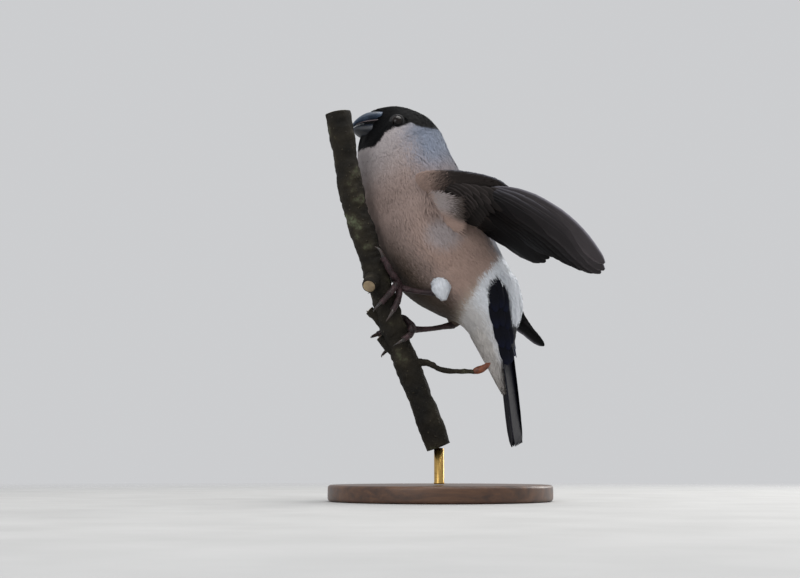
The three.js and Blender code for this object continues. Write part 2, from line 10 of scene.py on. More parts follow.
import bpy
import numpy as np
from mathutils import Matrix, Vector


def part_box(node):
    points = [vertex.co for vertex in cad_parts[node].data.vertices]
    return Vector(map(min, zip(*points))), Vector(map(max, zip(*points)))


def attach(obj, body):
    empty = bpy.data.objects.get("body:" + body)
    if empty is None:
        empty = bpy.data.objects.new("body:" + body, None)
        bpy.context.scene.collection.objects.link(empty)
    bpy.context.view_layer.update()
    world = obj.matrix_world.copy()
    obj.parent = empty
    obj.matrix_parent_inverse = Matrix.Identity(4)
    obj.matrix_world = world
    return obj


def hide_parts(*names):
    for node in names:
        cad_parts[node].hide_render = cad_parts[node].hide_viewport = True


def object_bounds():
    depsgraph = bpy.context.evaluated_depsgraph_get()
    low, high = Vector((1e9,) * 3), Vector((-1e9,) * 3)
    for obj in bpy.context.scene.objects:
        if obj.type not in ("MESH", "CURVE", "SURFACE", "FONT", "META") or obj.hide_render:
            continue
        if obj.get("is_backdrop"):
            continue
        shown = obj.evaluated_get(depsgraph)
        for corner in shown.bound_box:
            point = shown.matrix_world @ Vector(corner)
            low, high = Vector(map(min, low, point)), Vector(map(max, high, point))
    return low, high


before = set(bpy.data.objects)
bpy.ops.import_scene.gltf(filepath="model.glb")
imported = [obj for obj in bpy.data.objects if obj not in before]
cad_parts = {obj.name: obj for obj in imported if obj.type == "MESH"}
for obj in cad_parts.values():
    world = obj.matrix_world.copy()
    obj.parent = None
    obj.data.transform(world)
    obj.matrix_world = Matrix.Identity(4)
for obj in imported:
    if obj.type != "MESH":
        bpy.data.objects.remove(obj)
solid_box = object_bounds()
MM = 0.001
print("solids:", len(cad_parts), "height mm:", round(solid_box[1].z / MM, 1))

# %% [markdown]
# The camera stands low, a little above the table, and looks up at the bird. A real lens could be
# further away, but then the look from below would be lost, so it stays near and tilts up.

# %% Camera
CAMERA_PLACE = (-15.0, -480.0, 12.5)
CAMERA_TILT_UP = 8.0
FOCAL_PIXELS = 1268.0
PHOTO_WIDTH = 800
SENSOR = 36.0
NEAREST_SEEN = 0.01

camera_data = bpy.data.cameras.new("camera")
camera_data.sensor_width = SENSOR
camera_data.lens = FOCAL_PIXELS / PHOTO_WIDTH * SENSOR
camera_data.clip_start = NEAREST_SEEN
camera = bpy.data.objects.new("camera", camera_data)
bpy.context.scene.collection.objects.link(camera)
camera.location = [value * MM for value in CAMERA_PLACE]
camera.rotation_euler = (math.radians(90 + CAMERA_TILT_UP), 0, 0)
bpy.context.scene.camera = camera
print("lens mm:", round(camera_data.lens, 1))

# %% [markdown]
# Soft daylight comes from above and a little behind the bird's back, with a weak fill in front.
# Large area lights give the soft edge that an overcast sky gives.

# %% Light
def area_light(name, place, aim, size, power, colour):
    light = bpy.data.lights.new(name, "AREA")
    light.size = size * MM
    light.energy = power
    light.color = colour
    holder = bpy.data.objects.new(name, light)
    holder.location = Vector(place) * MM
    holder.rotation_euler = (Vector(aim) - Vector(place)).to_track_quat("-Z", "Y").to_euler()
    bpy.context.scene.collection.objects.link(holder)
    print(name, "light, watts:", power)


BIRD_MIDDLE = (0, 0, 105)
DAYLIGHT = (0.84, 0.85, 0.87, 1)
DAYLIGHT_STRENGTH = 0.72
for name, place, size, power, colour in (
    ("sky", (150, -60, 760), 620, 4.6, (1.0, 0.99, 0.97)),
    ("front_fill", (-420, -620, 330), 420, 1.4, (0.97, 0.98, 1.0)),
    ("rim", (520, 420, 300), 300, 2.4, (1.0, 0.98, 0.95)),
):
    area_light(name, place, BIRD_MIDDLE, size, power, colour)

world = bpy.data.worlds.new("studio")
world.use_nodes = True
background = world.node_tree.nodes["Background"]
background.inputs["Color"].default_value = DAYLIGHT
background.inputs["Strength"].default_value = DAYLIGHT_STRENGTH
bpy.context.scene.world = world
bpy.context.scene.view_settings.view_transform = "Standard"

# %% [markdown]
# Everything grown, such as feathers, toes and bark, follows a smooth curve through a few given
# points. Catmull-Rom curves are used because they pass through every point and need no
# handles. Working on whole arrays at once keeps hundreds of thousands of blades quick to make.

# %% Smooth curves
RANDOM_SEED = 7
random = np.random.default_rng(RANDOM_SEED)


def vec(values):
    return np.asarray(values, dtype=float)


def unit(v):
    return v / np.maximum(np.linalg.norm(v, axis=-1, keepdims=True), 1e-9)


def grids(*values):
    """Numbers and arrays as arrays of one common shape."""
    return np.broadcast_arrays(*map(vec, values))


def net(rows, columns):
    return np.meshgrid(rows, columns, indexing="ij")


def circle(sides):
    """Angles all round, one for each side."""
    return np.linspace(0, 2 * math.pi, sides, endpoint=False)


def evenly(values, t):
    """The value at share t along a row of values with even steps."""
    return np.interp(t, np.linspace(0, 1, len(values)), values)


def smooth_step(low, high, value):
    t = np.clip((value - low) / (high - low), 0, 1)
    return t * t * (3 - 2 * t)


def along_curve(points, t, even=False):
    """Points at shares t along a smooth curve, even or centripetal Catmull-Rom."""
    points = vec(points)
    ends = np.vstack([2 * points[0] - points[1], points, 2 * points[-1] - points[-2]])
    place = np.clip(np.asarray(t, dtype=float), 0, 1) * (len(points) - 1)
    i = np.minimum(place.astype(int), len(points) - 2)
    w = (place - i)[..., None]
    a, b, c, d = ends[i], ends[i + 1], ends[i + 2], ends[i + 3]
    if even:
        start, finish = (c - a) / 2, (d - b) / 2
    else:
        gap = [np.maximum(np.sqrt(np.linalg.norm(q - p, axis=-1, keepdims=True)), 1e-4)
               for p, q in ((a, b), (b, c), (c, d))]
        start = ((b - a) / gap[0] - (c - a) / (gap[0] + gap[1]) + (c - b) / gap[1]) * gap[1]
        finish = ((c - b) / gap[1] - (d - b) / (gap[1] + gap[2]) + (d - c) / gap[2]) * gap[1]
    return (b + start * w + (3 * (c - b) - 2 * start - finish) * w ** 2
            + (2 * (b - c) + start + finish) * w ** 3)


print("a curve's place a quarter along:", along_curve([[0, 0], [1, 1], [2, 0]], 0.25))

# %% [markdown]
# A loft joins rings of points into a closed skin. A toe, a bill and a feather are all lofts, with
# round, deep or flat rings, so one small function gives the triangles of them all, and a second
# one puts round rings along a line.

# %% Lofts
def loft_faces(ring_count, sides):
    """Triangles of closed rings joined in a row, with both ends filled."""
    i, j = net(np.arange(ring_count - 1), np.arange(sides))
    a = i * sides + j
    b = i * sides + (j + 1) % sides
    walls = np.concatenate([
        np.stack([a, b, b + sides], -1).reshape(-1, 3),
        np.stack([a, b + sides, a + sides], -1).reshape(-1, 3),
    ])
    k = np.arange(1, sides - 1)
    last = (ring_count - 1) * sides
    first_end = np.stack([np.zeros_like(k), k + 1, k], -1)
    last_end = np.stack([np.full_like(k, last), last + k, last + k + 1], -1)
    return np.concatenate([walls, first_end, last_end])


def swept_tube(line, radii, sides):
    """Rings of a round tube along a line of points, turned as little as possible."""
    line = vec(line)
    tangents = unit(np.gradient(line, axis=0))
    across = unit(np.cross(tangents[0], (0.31, 0.2, 0.93)))
    angles = circle(sides)
    rings = []
    for point, tangent, radius in zip(line, tangents, np.broadcast_to(radii, len(line))):
        across = unit(across - tangent * np.dot(across, tangent))
        over = np.cross(tangent, across)
        rings.append(point + radius * (np.cos(angles)[:, None] * across
                                       + np.sin(angles)[:, None] * over))
    return np.array(rings)


print("triangles of a tube with ten rings of eight:", len(loft_faces(10, 8)))

# %% [markdown]
# A bird has far too many feathers for an object each. A heap collects small meshes with their
# colours and maps, and makes one piece of them at the end: "shade" is the colour, "lie" is the
# map for the strands, and "OFBake" gives each feather a place of its own on a picture of the
# surface. Faces that cross the seam of that map are unrolled past its edge, not stretched back.

# %% Heaps of small meshes
class Heap:
    """Collects many small meshes into one piece."""

    def __init__(self):
        self.points, self.faces, self.layers, self.count = [], [], {}, 0

    def add(self, points, faces, **layers):
        points = points.reshape(-1, 3)
        self.points.append(points)
        self.faces.append(faces + self.count)
        self.count += len(points)
        for name, values in layers.items():
            wide = np.shape(values)[-1]
            values = np.broadcast_to(vec(values).reshape(-1, wide), (len(points), wide))
            self.layers.setdefault(name, []).append(values)

    def add_rings(self, rings, **layers):
        """A loft: an array of its rings, the points of a ring, and their x, y and z."""
        self.add(rings, loft_faces(*rings.shape[:2]), **layers)

    def add_tube(self, line, radii, sides, **layers):
        self.add_rings(swept_tube(line, radii, sides), **layers)

    def mesh(self, name):
        points = np.concatenate(self.points) * MM
        faces = np.concatenate(self.faces)
        mesh = bpy.data.meshes.new(name)
        mesh.vertices.add(len(points))
        mesh.vertices.foreach_set("co", points.ravel())
        mesh.loops.add(faces.size)
        mesh.loops.foreach_set("vertex_index", faces.ravel())
        mesh.polygons.add(len(faces))
        mesh.polygons.foreach_set("loop_start", np.arange(0, faces.size, 3))
        mesh.polygons.foreach_set("use_smooth", np.ones(len(faces), dtype=bool))
        mesh.update(calc_edges=True)
        for layer, parts in self.layers.items():
            self.write_layer(mesh, layer, np.concatenate(parts), faces)
        mesh.validate()
        return mesh

    def write_layer(self, mesh, layer, values, faces):
        if layer == "shade":
            colours = np.hstack([values, np.ones((len(values), 1))])
            made = mesh.attributes.new("shade", "FLOAT_COLOR", "POINT")
            made.data.foreach_set("color", colours.ravel())
            return
        corners = values[faces.ravel()].reshape(-1, 3, 2)
        if layer == "OFBake":
            across = corners[..., 0]
            torn = np.ptp(across, axis=1)[:, None] > 0.5
            corners[..., 0] = np.where(torn & (across < 0.5), across + 1, across)
        made = mesh.uv_layers.new(name=layer)
        made.data.foreach_set("uv", corners.ravel())

    def piece(self, name, material, replaces=()):
        thing = bpy.data.objects.new(name, self.mesh(name))
        bpy.context.scene.collection.objects.link(thing)
        thing.data.materials.append(material)
        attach(thing, "root")
        if replaces:
            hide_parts(*replaces)
        print(name, "triangles:", len(thing.data.polygons))


print("an empty heap holds", Heap().count, "points")

# %% [markdown]
# Shader maths reads like ordinary sums here. A Wire holds one output of a node, and adding or
# multiplying wires makes the Math nodes. Colours are mixed with Mix nodes instead,
# because a Math node would turn them grey.

# %% Shader wires
class Wire:
    def __init__(self, tree, socket):
        self.tree, self.socket = tree, socket

    def into(self, target):
        self.tree.links.new(self.socket, target)

    def node(self, kind, settings=(), sockets=(), out=0):
        """Any node: its settings come first, then the values or wires of its sockets."""
        made = self.tree.nodes.new(kind)
        for key, value in dict(settings).items():
            setattr(made, key, value)
        for key, value in dict(sockets).items():
            if isinstance(value, Wire):
                value.into(made.inputs[key])
            else:
                made.inputs[key].default_value = value
        return Wire(self.tree, made.outputs[out])

    def sum(self, operation, first, second):
        return self.node("ShaderNodeMath", {"operation": operation}, {0: first, 1: second})

    def __add__(self, other):
        return self.sum("ADD", self, other)

    def __sub__(self, other):
        return self.sum("SUBTRACT", self, other)

    def __rsub__(self, other):
        return self.sum("SUBTRACT", other, self)

    def __mul__(self, other):
        return self.sum("MULTIPLY", self, other)

    __radd__, __rmul__ = __add__, __mul__

    def tint(self, other, share, blend="MIX"):
        """This colour mixed towards another by a share from 0 to 1."""
        settings = {"data_type": "RGBA", "blend_type": blend}
        return self.node("ShaderNodeMix", settings, {0: share, 6: self, 7: other}, out=2)

    def spread(self, low, high):
        """Stretches values between low and high to 0 to 1."""
        return self.node("ShaderNodeMapRange", {}, {0: self, 1: low, 2: high})

    def ramp(self, *stops):
        """A colour for each value: each stop is a value and a colour."""
        wire = self.node("ShaderNodeValToRGB", {}, {0: self})
        elements = wire.socket.node.color_ramp.elements
        for element, (position, colour) in zip(elements, (stops[0], stops[-1])):
            element.position, element.color = position, (*colour, 1)
        for position, colour in stops[1:-1]:
            elements.new(position).color = (*colour, 1)
        return wire

    def noise(self, scale, detail, distortion=0.0):
        return self.node("ShaderNodeTexNoise", {}, {
            "Vector": self, "Scale": scale, "Detail": detail, "Distortion": distortion,
        })

    def stretch(self, *scale):
        return self.node("ShaderNodeMapping", {}, {"Vector": self, "Scale": scale})


print("sums that a wire knows:", [name for name in vars(Wire) if name.startswith("__r")])

# %% [markdown]
# A finish starts from the place on the object, in its own space, so that a pattern stays fixed to
# the surface from every side. What is the same all over is set on the shader's own socket.

# %% Starting a finish
def srgb(red, green, blue):
    """A colour seen in daylight, as the linear numbers that shaders use."""
    return tuple((value / 255) ** 2.2 for value in (red, green, blue))


def finish(name, **constants):
    """A new material, the wire of its places, and its shader."""
    material = bpy.data.materials.new(name)
    material.use_nodes = True
    shader = material.node_tree.nodes["Principled BSDF"]
    for key, value in constants.items():
        shader.inputs[key.replace("_", " ")].default_value = value
    place = Wire(material.node_tree, None).node("ShaderNodeTexCoord", out=3)
    return material, place, shader


def bumps(shader, height, distance, strength=1.0):
    normal = height.node("ShaderNodeBump", {}, {"Height": height, "Distance": distance * MM,
                                                "Strength": strength})
    normal.into(shader.inputs["Normal"])


print("a middle grey as a shader number:", round(srgb(128, 128, 128)[0], 3))

# %% [markdown]
# Body feathers are soft and dull: each one keeps the colour of the place that it grows from,
# a little lighter at its tip, with fine strands along it. The colour is worked out once for each
# feather, so skin and coat always agree, and the strands come from stretched noise.

# %% Feather finishes
STRAND_DEPTH = 0.05


def feather_finish(name, roughness, sheen, gloss, across_scale, along_scale):
    material, place, shader = finish(name, Sheen_Weight=sheen, Sheen_Roughness=0.5,
                                     Specular_IOR_Level=gloss)
    shade = place.node("ShaderNodeVertexColor", {"layer_name": "shade"})
    lie = place.node("ShaderNodeUVMap", {"uv_map": "lie"})
    strands = lie.stretch(across_scale, along_scale, 1).noise(1.0, 3.0)
    cloud = place.noise(120.0, 2.0)
    light = 0.72 + strands * 0.42 + (cloud - 0.5) * 0.25
    grey = light.node("ShaderNodeCombineColor", {}, {0: light, 1: light, 2: light})
    shade.tint(grey, 1.0, "MULTIPLY").into(shader.inputs["Base Color"])
    (roughness + (strands - 0.5) * 0.2).into(shader.inputs["Roughness"])
    bumps(shader, strands, STRAND_DEPTH, 0.6)
    return material


soft_feathers = feather_finish("soft_feathers", 0.9, 0.12, 0.2, 6, 2)
cap_feathers = feather_finish("cap_feathers", 0.55, 0.0, 0.08, 6, 2)
flight_feathers = feather_finish("flight_feathers", 0.62, 0.0, 0.13, 3, 70)
print("feather finishes ready")

# %% [markdown]
# Horn covers the bill and the claws. It is smooth and slightly cloudy, with a thin gloss on top.
# The lower half of the bill is a darker copy of the upper's horn, as painted shade under the head.
# The same recipe in other colours makes the dull skin of the lids and of the bill's corner.

# %% Horn finishes
def horn_finish(name, dark, pale, roughness, scale):
    material, place, shader = finish(name, Coat_Weight=0.25, Coat_Roughness=0.25)
    cloud = place.noise(scale, 4.0)
    cloud.ramp((0.35, dark), (0.7, pale)).into(shader.inputs["Base Color"])
    (roughness + cloud * 0.2).into(shader.inputs["Roughness"])
    bumps(shader, place.noise(scale * 6, 3.0), 0.05, 0.5)
    return material


upper_horn = horn_finish("upper_horn", srgb(36, 46, 60), srgb(74, 90, 112), 0.46, 260)
# A darker copy of the upper horn: painted shade on the lower half of the bill.
lower_horn = horn_finish("lower_horn", srgb(11, 12, 16), srgb(34, 41, 54), 0.46, 260)
claw_horn = horn_finish("claw_horn", srgb(30, 25, 24), srgb(72, 60, 56), 0.3, 500)
gape_skin = horn_finish("gape_skin", srgb(66, 56, 60), srgb(100, 86, 88), 0.5, 400)
lid_skin = horn_finish("lid_skin", srgb(8, 8, 10), srgb(20, 19, 22), 0.75, 700)
print("horn finishes ready")

# %% [markdown]
# Legs have small scales with dark seams, which a Voronoi pattern's cell edges give. The eye is
# nearly black and wet, so it gets a thin clear coat that picks up the lights.

# %% Leg and eye finishes
leg_skin, place, shader = finish("leg_skin", Specular_IOR_Level=0.4)
cells = place.node("ShaderNodeTexVoronoi", {"feature": "DISTANCE_TO_EDGE"},
                   {"Vector": place, "Scale": 1100.0})
seams = cells.spread(0.0, 0.12)
cloud = place.noise(300.0, 4.0)
skin_colour = cloud.ramp((0.35, srgb(32, 22, 23)), (0.7, srgb(76, 55, 58)))
skin_colour = skin_colour.tint((*srgb(26, 20, 19), 1), (1 - seams) * 0.7)
skin_colour.into(shader.inputs["Base Color"])
(0.42 + cloud * 0.25).into(shader.inputs["Roughness"])
bumps(shader, seams, 0.12, 0.8)

eye_wet, place, shader = finish("eye_wet", Coat_Weight=0.2, Coat_Roughness=0.02, Roughness=0.08,
                                Specular_IOR_Level=0.16)
iris = place.noise(900.0, 3.0).ramp((0.3, srgb(6, 5, 5)), (0.8, srgb(30, 20, 15)))
iris.into(shader.inputs["Base Color"])
print("leg and eye finishes ready")

# %% [markdown]
# The body is one smooth egg from bill to tail. Stations down its length give the back line,
# the belly line and the half width, and everything else is a smooth curve through them.
# One continuous skin is made from them, so no seam shows between head, neck and trunk.

# %% Body shape
BODY_STATIONS = vec([
    [-28.0, 148.3, -30.3, 139.6, 1.5],
    [-25.6, 150.2, -31.0, 137.2, 2.6],
    [-21.6, 151.4, -31.4, 134.4, 3.9],
    [-16.2, 151.8, -31.5, 131.2, 7.2],
    [-10.3, 150.3, -31.7, 128.0, 11.0],
    [-4.0, 147.0, -31.6, 123.5, 13.4],
    [1.0, 141.0, -31.1, 118.8, 15.4],
    [4.6, 132.5, -30.1, 114.0, 17.9],
    [9.0, 124.1, -28.6, 107.5, 20.4],
    [14.3, 113.0, -26.4, 100.0, 22.2],
    [19.6, 102.1, -22.7, 90.4, 22.6],
    [24.2, 92.6, -16.5, 81.8, 21.2],
    [27.6, 86.2, -9.5, 75.2, 18.8],
    [30.0, 79.4, -1.0, 70.4, 15.4],
    [31.0, 72.4, 8.4, 66.0, 11.8],
    [29.4, 64.5, 14.6, 58.0, 8.6],
    [28.3, 56.0, 19.2, 50.0, 6.8],
    [28.6, 47.0, 23.0, 42.4, 4.6],
])
LAST_STATION = len(BODY_STATIONS) - 1
HEAD_COAT = 0.7
BODY_COAT = 1.7


def coat_depth(s):
    return HEAD_COAT + (BODY_COAT - HEAD_COAT) * smooth_step(3.0, 7.5, s)


def body_point(s, angle, height=0.0):
    """A place on the body: station s, angle from the back, height above the skin."""
    s, angle, height = grids(s, angle, height)
    rows = along_curve(BODY_STATIONS, s / LAST_STATION, even=True)
    back, belly = rows[..., 0:2], rows[..., 2:4]
    middle = (back + belly) / 2
    up = (back - belly) / 2
    size = np.linalg.norm(up, axis=-1)
    raised = height - coat_depth(s)
    high = (size + raised) * np.cos(angle)
    wide = (rows[..., 4] + raised) * np.sin(angle)
    flat = middle + up / size[..., None] * high[..., None]
    return np.stack([flat[..., 0], wide, flat[..., 1]], -1)


back_line = body_point(np.linspace(0, LAST_STATION, 100), 0.0)
steps = np.linalg.norm(np.diff(back_line, axis=0), axis=1)
print("body length by the back, mm:", round(float(steps.sum()), 1))

# %% [markdown]
# The hen bullfinch wears a black cap down to the eye and round the bill, a blue-grey nape and
# back, a soft pinkish grey-brown front and a white rump and vent. Each edge is a line in the side
# view: the cap's by its height along the bird, the others by how far back they are at a height.

# %% Edges of the markings
CAP_EDGE = vec([[-40, 133.2], [-29.9, 133.4], [-24.8, 132.9], [-22.4, 135.3], [-20.6, 138.4],
                [-17.3, 140.1], [-13.6, 141.3], [-11.3, 142.4], [-7.1, 140.8], [-3.2, 140.6],
                [0.6, 141.5], [2.5, 141.5]])
WHITE_EDGE = vec([[60, 4.0], [65.3, 8.8], [68.8, 8.5], [73.7, 10.9], [77.7, 13.5], [81.1, 15.1],
                  [87.0, 19.8], [92.1, 24.8], [96.0, 32.0]])
TAIL_ROOT_FRONT = vec([[54.2, 24.8], [60.9, 22.0], [67.9, 19.5], [74.1, 17.8], [77.1, 17.4],
                       [80.5, 18.8], [82.2, 21.0]])
TAIL_ROOT_BACK = vec([[53.2, 40.0], [63.0, 36.0], [66.0, 27.2], [70.9, 26.2], [76.9, 25.2],
                      [80.8, 23.4], [82.2, 21.0]])
print("points of the cap's and the rump's edge:", len(CAP_EDGE) + len(WHITE_EDGE))

# %% [markdown]
# Every colour of the plumage was judged. The markings take a place on the body and answer
# with a colour there. A little wobble moves the edges, so feathers of two colours mingle there.

# %% Markings
CHEEK = srgb(176, 169, 170)
NAPE = srgb(126, 134, 150)
BACK = srgb(104, 106, 115)
BREAST = srgb(146, 128, 121)
FLANK = srgb(163, 139, 128)
FLANK_GREY = srgb(160, 154, 156)
SHADED_BELLY = srgb(68, 57, 48)
WHITE = srgb(228, 232, 238)
CAP = srgb(6, 7, 10)
GLOSS_BLACK = srgb(12, 14, 24)
CREAM = srgb(178, 166, 152)
SHADED_WHITE = srgb(196, 192, 188)


def paint(under, over, share):
    share = np.clip(share, 0, 1)[..., None]
    return vec(under) * (1 - share) + vec(over) * share


def line_at(line, at):
    return np.interp(at, line[:, 0], line[:, 1])


def markings(s, angle, points, wobble=0.0):
    """The plumage colour at places on the body."""
    x, y, z = points[..., 0], points[..., 1], points[..., 2]
    side = np.degrees(np.arccos(np.clip(np.cos(angle), -1, 1))) + wobble * 7
    colour = paint(BREAST, FLANK, smooth_step(8.2, 11, s) * (1 - smooth_step(95, 125, side)))
    # The underside is painted darker than the belly's own grey-brown: painted shade under the
    # body.
    colour = paint(colour, SHADED_BELLY, smooth_step(104, 146, side) * smooth_step(8.5, 11, s))
    spot = np.hypot((x - 1.0) / 8.5, (z - 97.0) / 7.5) + wobble * 0.12
    colour = paint(colour, FLANK_GREY, (1 - smooth_step(0.3, 1.1, spot)) * 0.75)
    colour = paint(colour, CHEEK, (1 - smooth_step(4.6, 8.0, s + wobble * 0.2)) * 0.9)
    nape = smooth_step(4.0, 5.6, s) * (1 - smooth_step(52, 96, side))
    colour = paint(colour, NAPE, nape * (1 - smooth_step(6.6, 8.6, s)))
    colour = paint(colour, BACK, smooth_step(6.8, 8.4, s) * (1 - smooth_step(22, 44, side)))
    behind = x - line_at(WHITE_EDGE, z) + wobble * 1.2
    cream = smooth_step(-5.5, 0.5, behind) * (1 - smooth_step(74, 86, z)) * 0.75
    colour = paint(colour, CREAM, cream * smooth_step(9.5, 10.5, s))
    white = smooth_step(-1.4, 1.4, behind) * smooth_step(9.5, 10.5, s)
    colour = paint(colour, WHITE, white)
    colour = paint(colour, SHADED_WHITE, white * smooth_step(84, 122, side) * 0.8)
    front = x - line_at(TAIL_ROOT_FRONT, z)
    back = line_at(TAIL_ROOT_BACK, z) - x
    inside = smooth_step(-0.35, 0.35, np.minimum(front, back) + wobble * 0.25)
    colour = paint(colour, GLOSS_BLACK, inside * (z < 82.6) * (s > 11))
    edge = z + wobble * 0.45 - line_at(CAP_EDGE, x)
    cap = smooth_step(-0.3, 0.3, edge) * (1 - smooth_step(0.2, 1.4, x + wobble * 0.3))
    return paint(colour, CAP, cap)


shown = markings(vec([9.0]), vec([0.0]), body_point([9.0], [0.0]))
print("colour of the back:", shown.round(3))

# %% [markdown]
# The skin closes every gap between feathers. It has a shallow socket where each eye sits, made by
# pressing its points away from the eye's middle, and it carries the coat's colours, a little
# darker as painted shade between the feathers.

# %% Skin
SKIN_END = 16.4
SKIN_RINGS = 150
SKIN_SIDES = 96
EYE_RADIUS = 2.6
SOCKET_GAP = 0.12
EYE_PLACE = vec([-16.1, 8.9, 143.1])
EYES = {"eye_left": EYE_PLACE * (1, -1, 1), "eye_right": EYE_PLACE}


def clear_of_eyes(points, distance):
    for middle in EYES.values():
        away = points - middle
        length = np.linalg.norm(away, axis=-1, keepdims=True)
        points = np.where(length < distance, middle + away / length * distance, points)
    return points


s, angle = net(np.linspace(0, SKIN_END, SKIN_RINGS), circle(SKIN_SIDES))
skin_points = clear_of_eyes(body_point(s, angle), EYE_RADIUS + SOCKET_GAP)
skin_map = np.stack([angle / (2 * math.pi), s / LAST_STATION], -1)
skin = Heap()
# The markings darkened a little: painted shade between the feathers.
skin.add_rings(skin_points, shade=markings(s, angle, skin_points) * 0.95, lie=skin_map * 60,
               OFBake=skin_map)
skin.piece("skin", soft_feathers, replaces=("head", "neck", "torso"))

# %% [markdown]
# A contour feather looks like a small soft fan. Each one is made here as a few narrow blades that
# start together and spread out. A blade is four levels wide at its waist and pointed at its tip,
# and every level lies on the body's own surface, so the coat lies close everywhere.

# %% Blades of a tuft
TUFT_PATCH = 0.003
LEVELS = vec([0.0, 0.35, 0.7, 1.0])
LEVEL_WIDTHS = vec([0.55, 1.0, 0.8, 0.0])
LEVEL_RISE = vec([0.0, 0.75, 1.0, 0.86])
LEVEL_LIGHT = vec([0.92, 0.98, 1.0, 1.04])
BLADE_FACES = np.array([[0, 1, 3], [0, 3, 2], [2, 3, 5], [2, 5, 4], [4, 5, 6]])


def slopes(surface, s, angle, step=0.01):
    """The surface's own directions at a place: the place, then along s and along the angle."""
    base = surface(s, angle, 0.0)
    by_s = (surface(s + step, angle, 0.0) - base) / step
    by_angle = (surface(s, angle + step, 0.0) - base) / step
    return base, by_s, by_angle


def lay_blades(heap, surface, colour_of, roots, length, width, fan, depth, turn=0.0, drift=0.16,
               last_s=LAST_STATION, bake_from=0.0):
    """Blades over a surface. roots are (s, angle); fan is blades in a tuft and their spread."""
    blades, spread = fan
    s, angle = roots
    count = len(s)
    base, by_s, by_angle = slopes(surface, s, angle)
    normal = unit(np.cross(by_s, by_angle))
    outward = np.sign(np.einsum("ij,ij->i", surface(s, angle, 1.0) - base, normal))
    normal = normal * outward[:, None]
    heading = turn + random.normal(0, drift, count)
    long = length * random.uniform(0.8, 1.2, count)
    wobble = random.normal(0, 0.5, count)
    tone = random.uniform(0.92, 1.08, (count, 1))
    bake = np.stack([bake_from + (1 - bake_from) * (angle / (2 * math.pi) % 1), s / last_s], -1)
    for k in range(blades):
        offset = 0.0 if blades == 1 else 2 * k / (blades - 1) - 1
        reach = long * (1 - 0.22 * offset ** 2)
        theta = heading + offset * spread + random.normal(0, 0.05, count)
        move_s = reach * np.cos(theta) / np.maximum(np.linalg.norm(by_s, axis=1), 1e-6)
        move_a = reach * np.sin(theta) / np.maximum(np.linalg.norm(by_angle, axis=1), 1e-6)
        high = (depth(s) if callable(depth) else depth) * random.uniform(0.7, 1.08, count)
        places = [(s + move_s * t, angle + move_a * t) for t in LEVELS]
        line = [surface(*at, high * rise) for at, rise in zip(places, LEVEL_RISE)]
        tints = [colour_of(*at, point, wobble) * tone * light
                 for at, point, light in zip(places, line, LEVEL_LIGHT)]
        side = unit(np.cross(line[3] - line[0], normal))
        rows, shades, uvs, patches = [], [], [], []
        for t, w, point, tint in zip(LEVELS, LEVEL_WIDTHS, line, tints):
            for edge in ((-1, 1) if w > 0 else (0,)):
                rows.append(point + side * (edge * w * width / 2))
                shades.append(tint)
                uvs.append(np.stack([np.full(count, edge * 0.5) + k, np.full(count, t)], -1)
                           + random.uniform(0, 40, (count, 1)) * (1, 0))
                patches.append(bake + vec([edge * w / 2, t - 0.5]) * TUFT_PATCH)
        offsets = (np.arange(count) * len(rows))[:, None, None]
        heap.add(np.stack(rows, 1), (BLADE_FACES[None] + offsets).reshape(-1, 3),
                 shade=np.stack(shades, 1), lie=np.stack(uvs, 1), OFBake=np.stack(patches, 1))


def all_of(colour):
    """A colour rule that is the same everywhere."""
    return lambda s, angle, points, wobble: np.broadcast_to(vec(colour), points.shape)


print("triangles in each blade:", len(BLADE_FACES))

# %% [markdown]
# Feathers grow evenly over the skin. Random places on the map of the body would crowd together
# where the map is squeezed, so a place is kept more often where its patch of skin is larger.

# %% Where tufts grow
BARE_RING = 0.6


def scatter(surface, s_range, angle_range, per_square, keep=None):
    """Even random places over part of a surface, per_square to each square millimetre."""
    grid_s, grid_angle = net(np.linspace(*s_range, 60), np.linspace(*angle_range, 60))

    def area(at_s, at_angle):
        base, by_s, by_angle = slopes(surface, at_s, at_angle)
        return np.linalg.norm(np.cross(by_s, by_angle), axis=-1)

    areas = area(grid_s, grid_angle)
    whole = areas.mean() * np.ptp(s_range) * np.ptp(angle_range)
    tries = int(per_square * whole * areas.max() / areas.mean())
    pick_s = random.uniform(*s_range, tries)
    pick_angle = random.uniform(*angle_range, tries)
    chosen = random.uniform(0, areas.max(), tries) < area(pick_s, pick_angle)
    pick_s, pick_angle = pick_s[chosen], pick_angle[chosen]
    if keep is not None:
        kept = keep(surface(pick_s, pick_angle, 0.0), pick_s, pick_angle)
        pick_s, pick_angle = pick_s[kept], pick_angle[kept]
    return pick_s, pick_angle


def bare_left(points, s, angle):
    """False on the eyes and beside the bill, where no feather grows."""
    near = [np.linalg.norm(points - middle, axis=-1) for middle in EYES.values()]
    lifted = np.degrees(np.arccos(np.cos(angle)))
    beside_bill = (lifted > 38) & (lifted < 142) & (s < 2.15)
    return (np.minimum(*near) > EYE_RADIUS + BARE_RING) & ~beside_bill


print("bare ring round each eye, mm:", BARE_RING)

# %% [markdown]
# The coat is laid in bands from face to vent. Tufts are shortest and closest on the face and grow
# longer down the body, as on the real bird. FINER scales how many are laid.

# %% Lay the coat
FULL_TURN = (0, 2 * math.pi)
FINER = 1.0
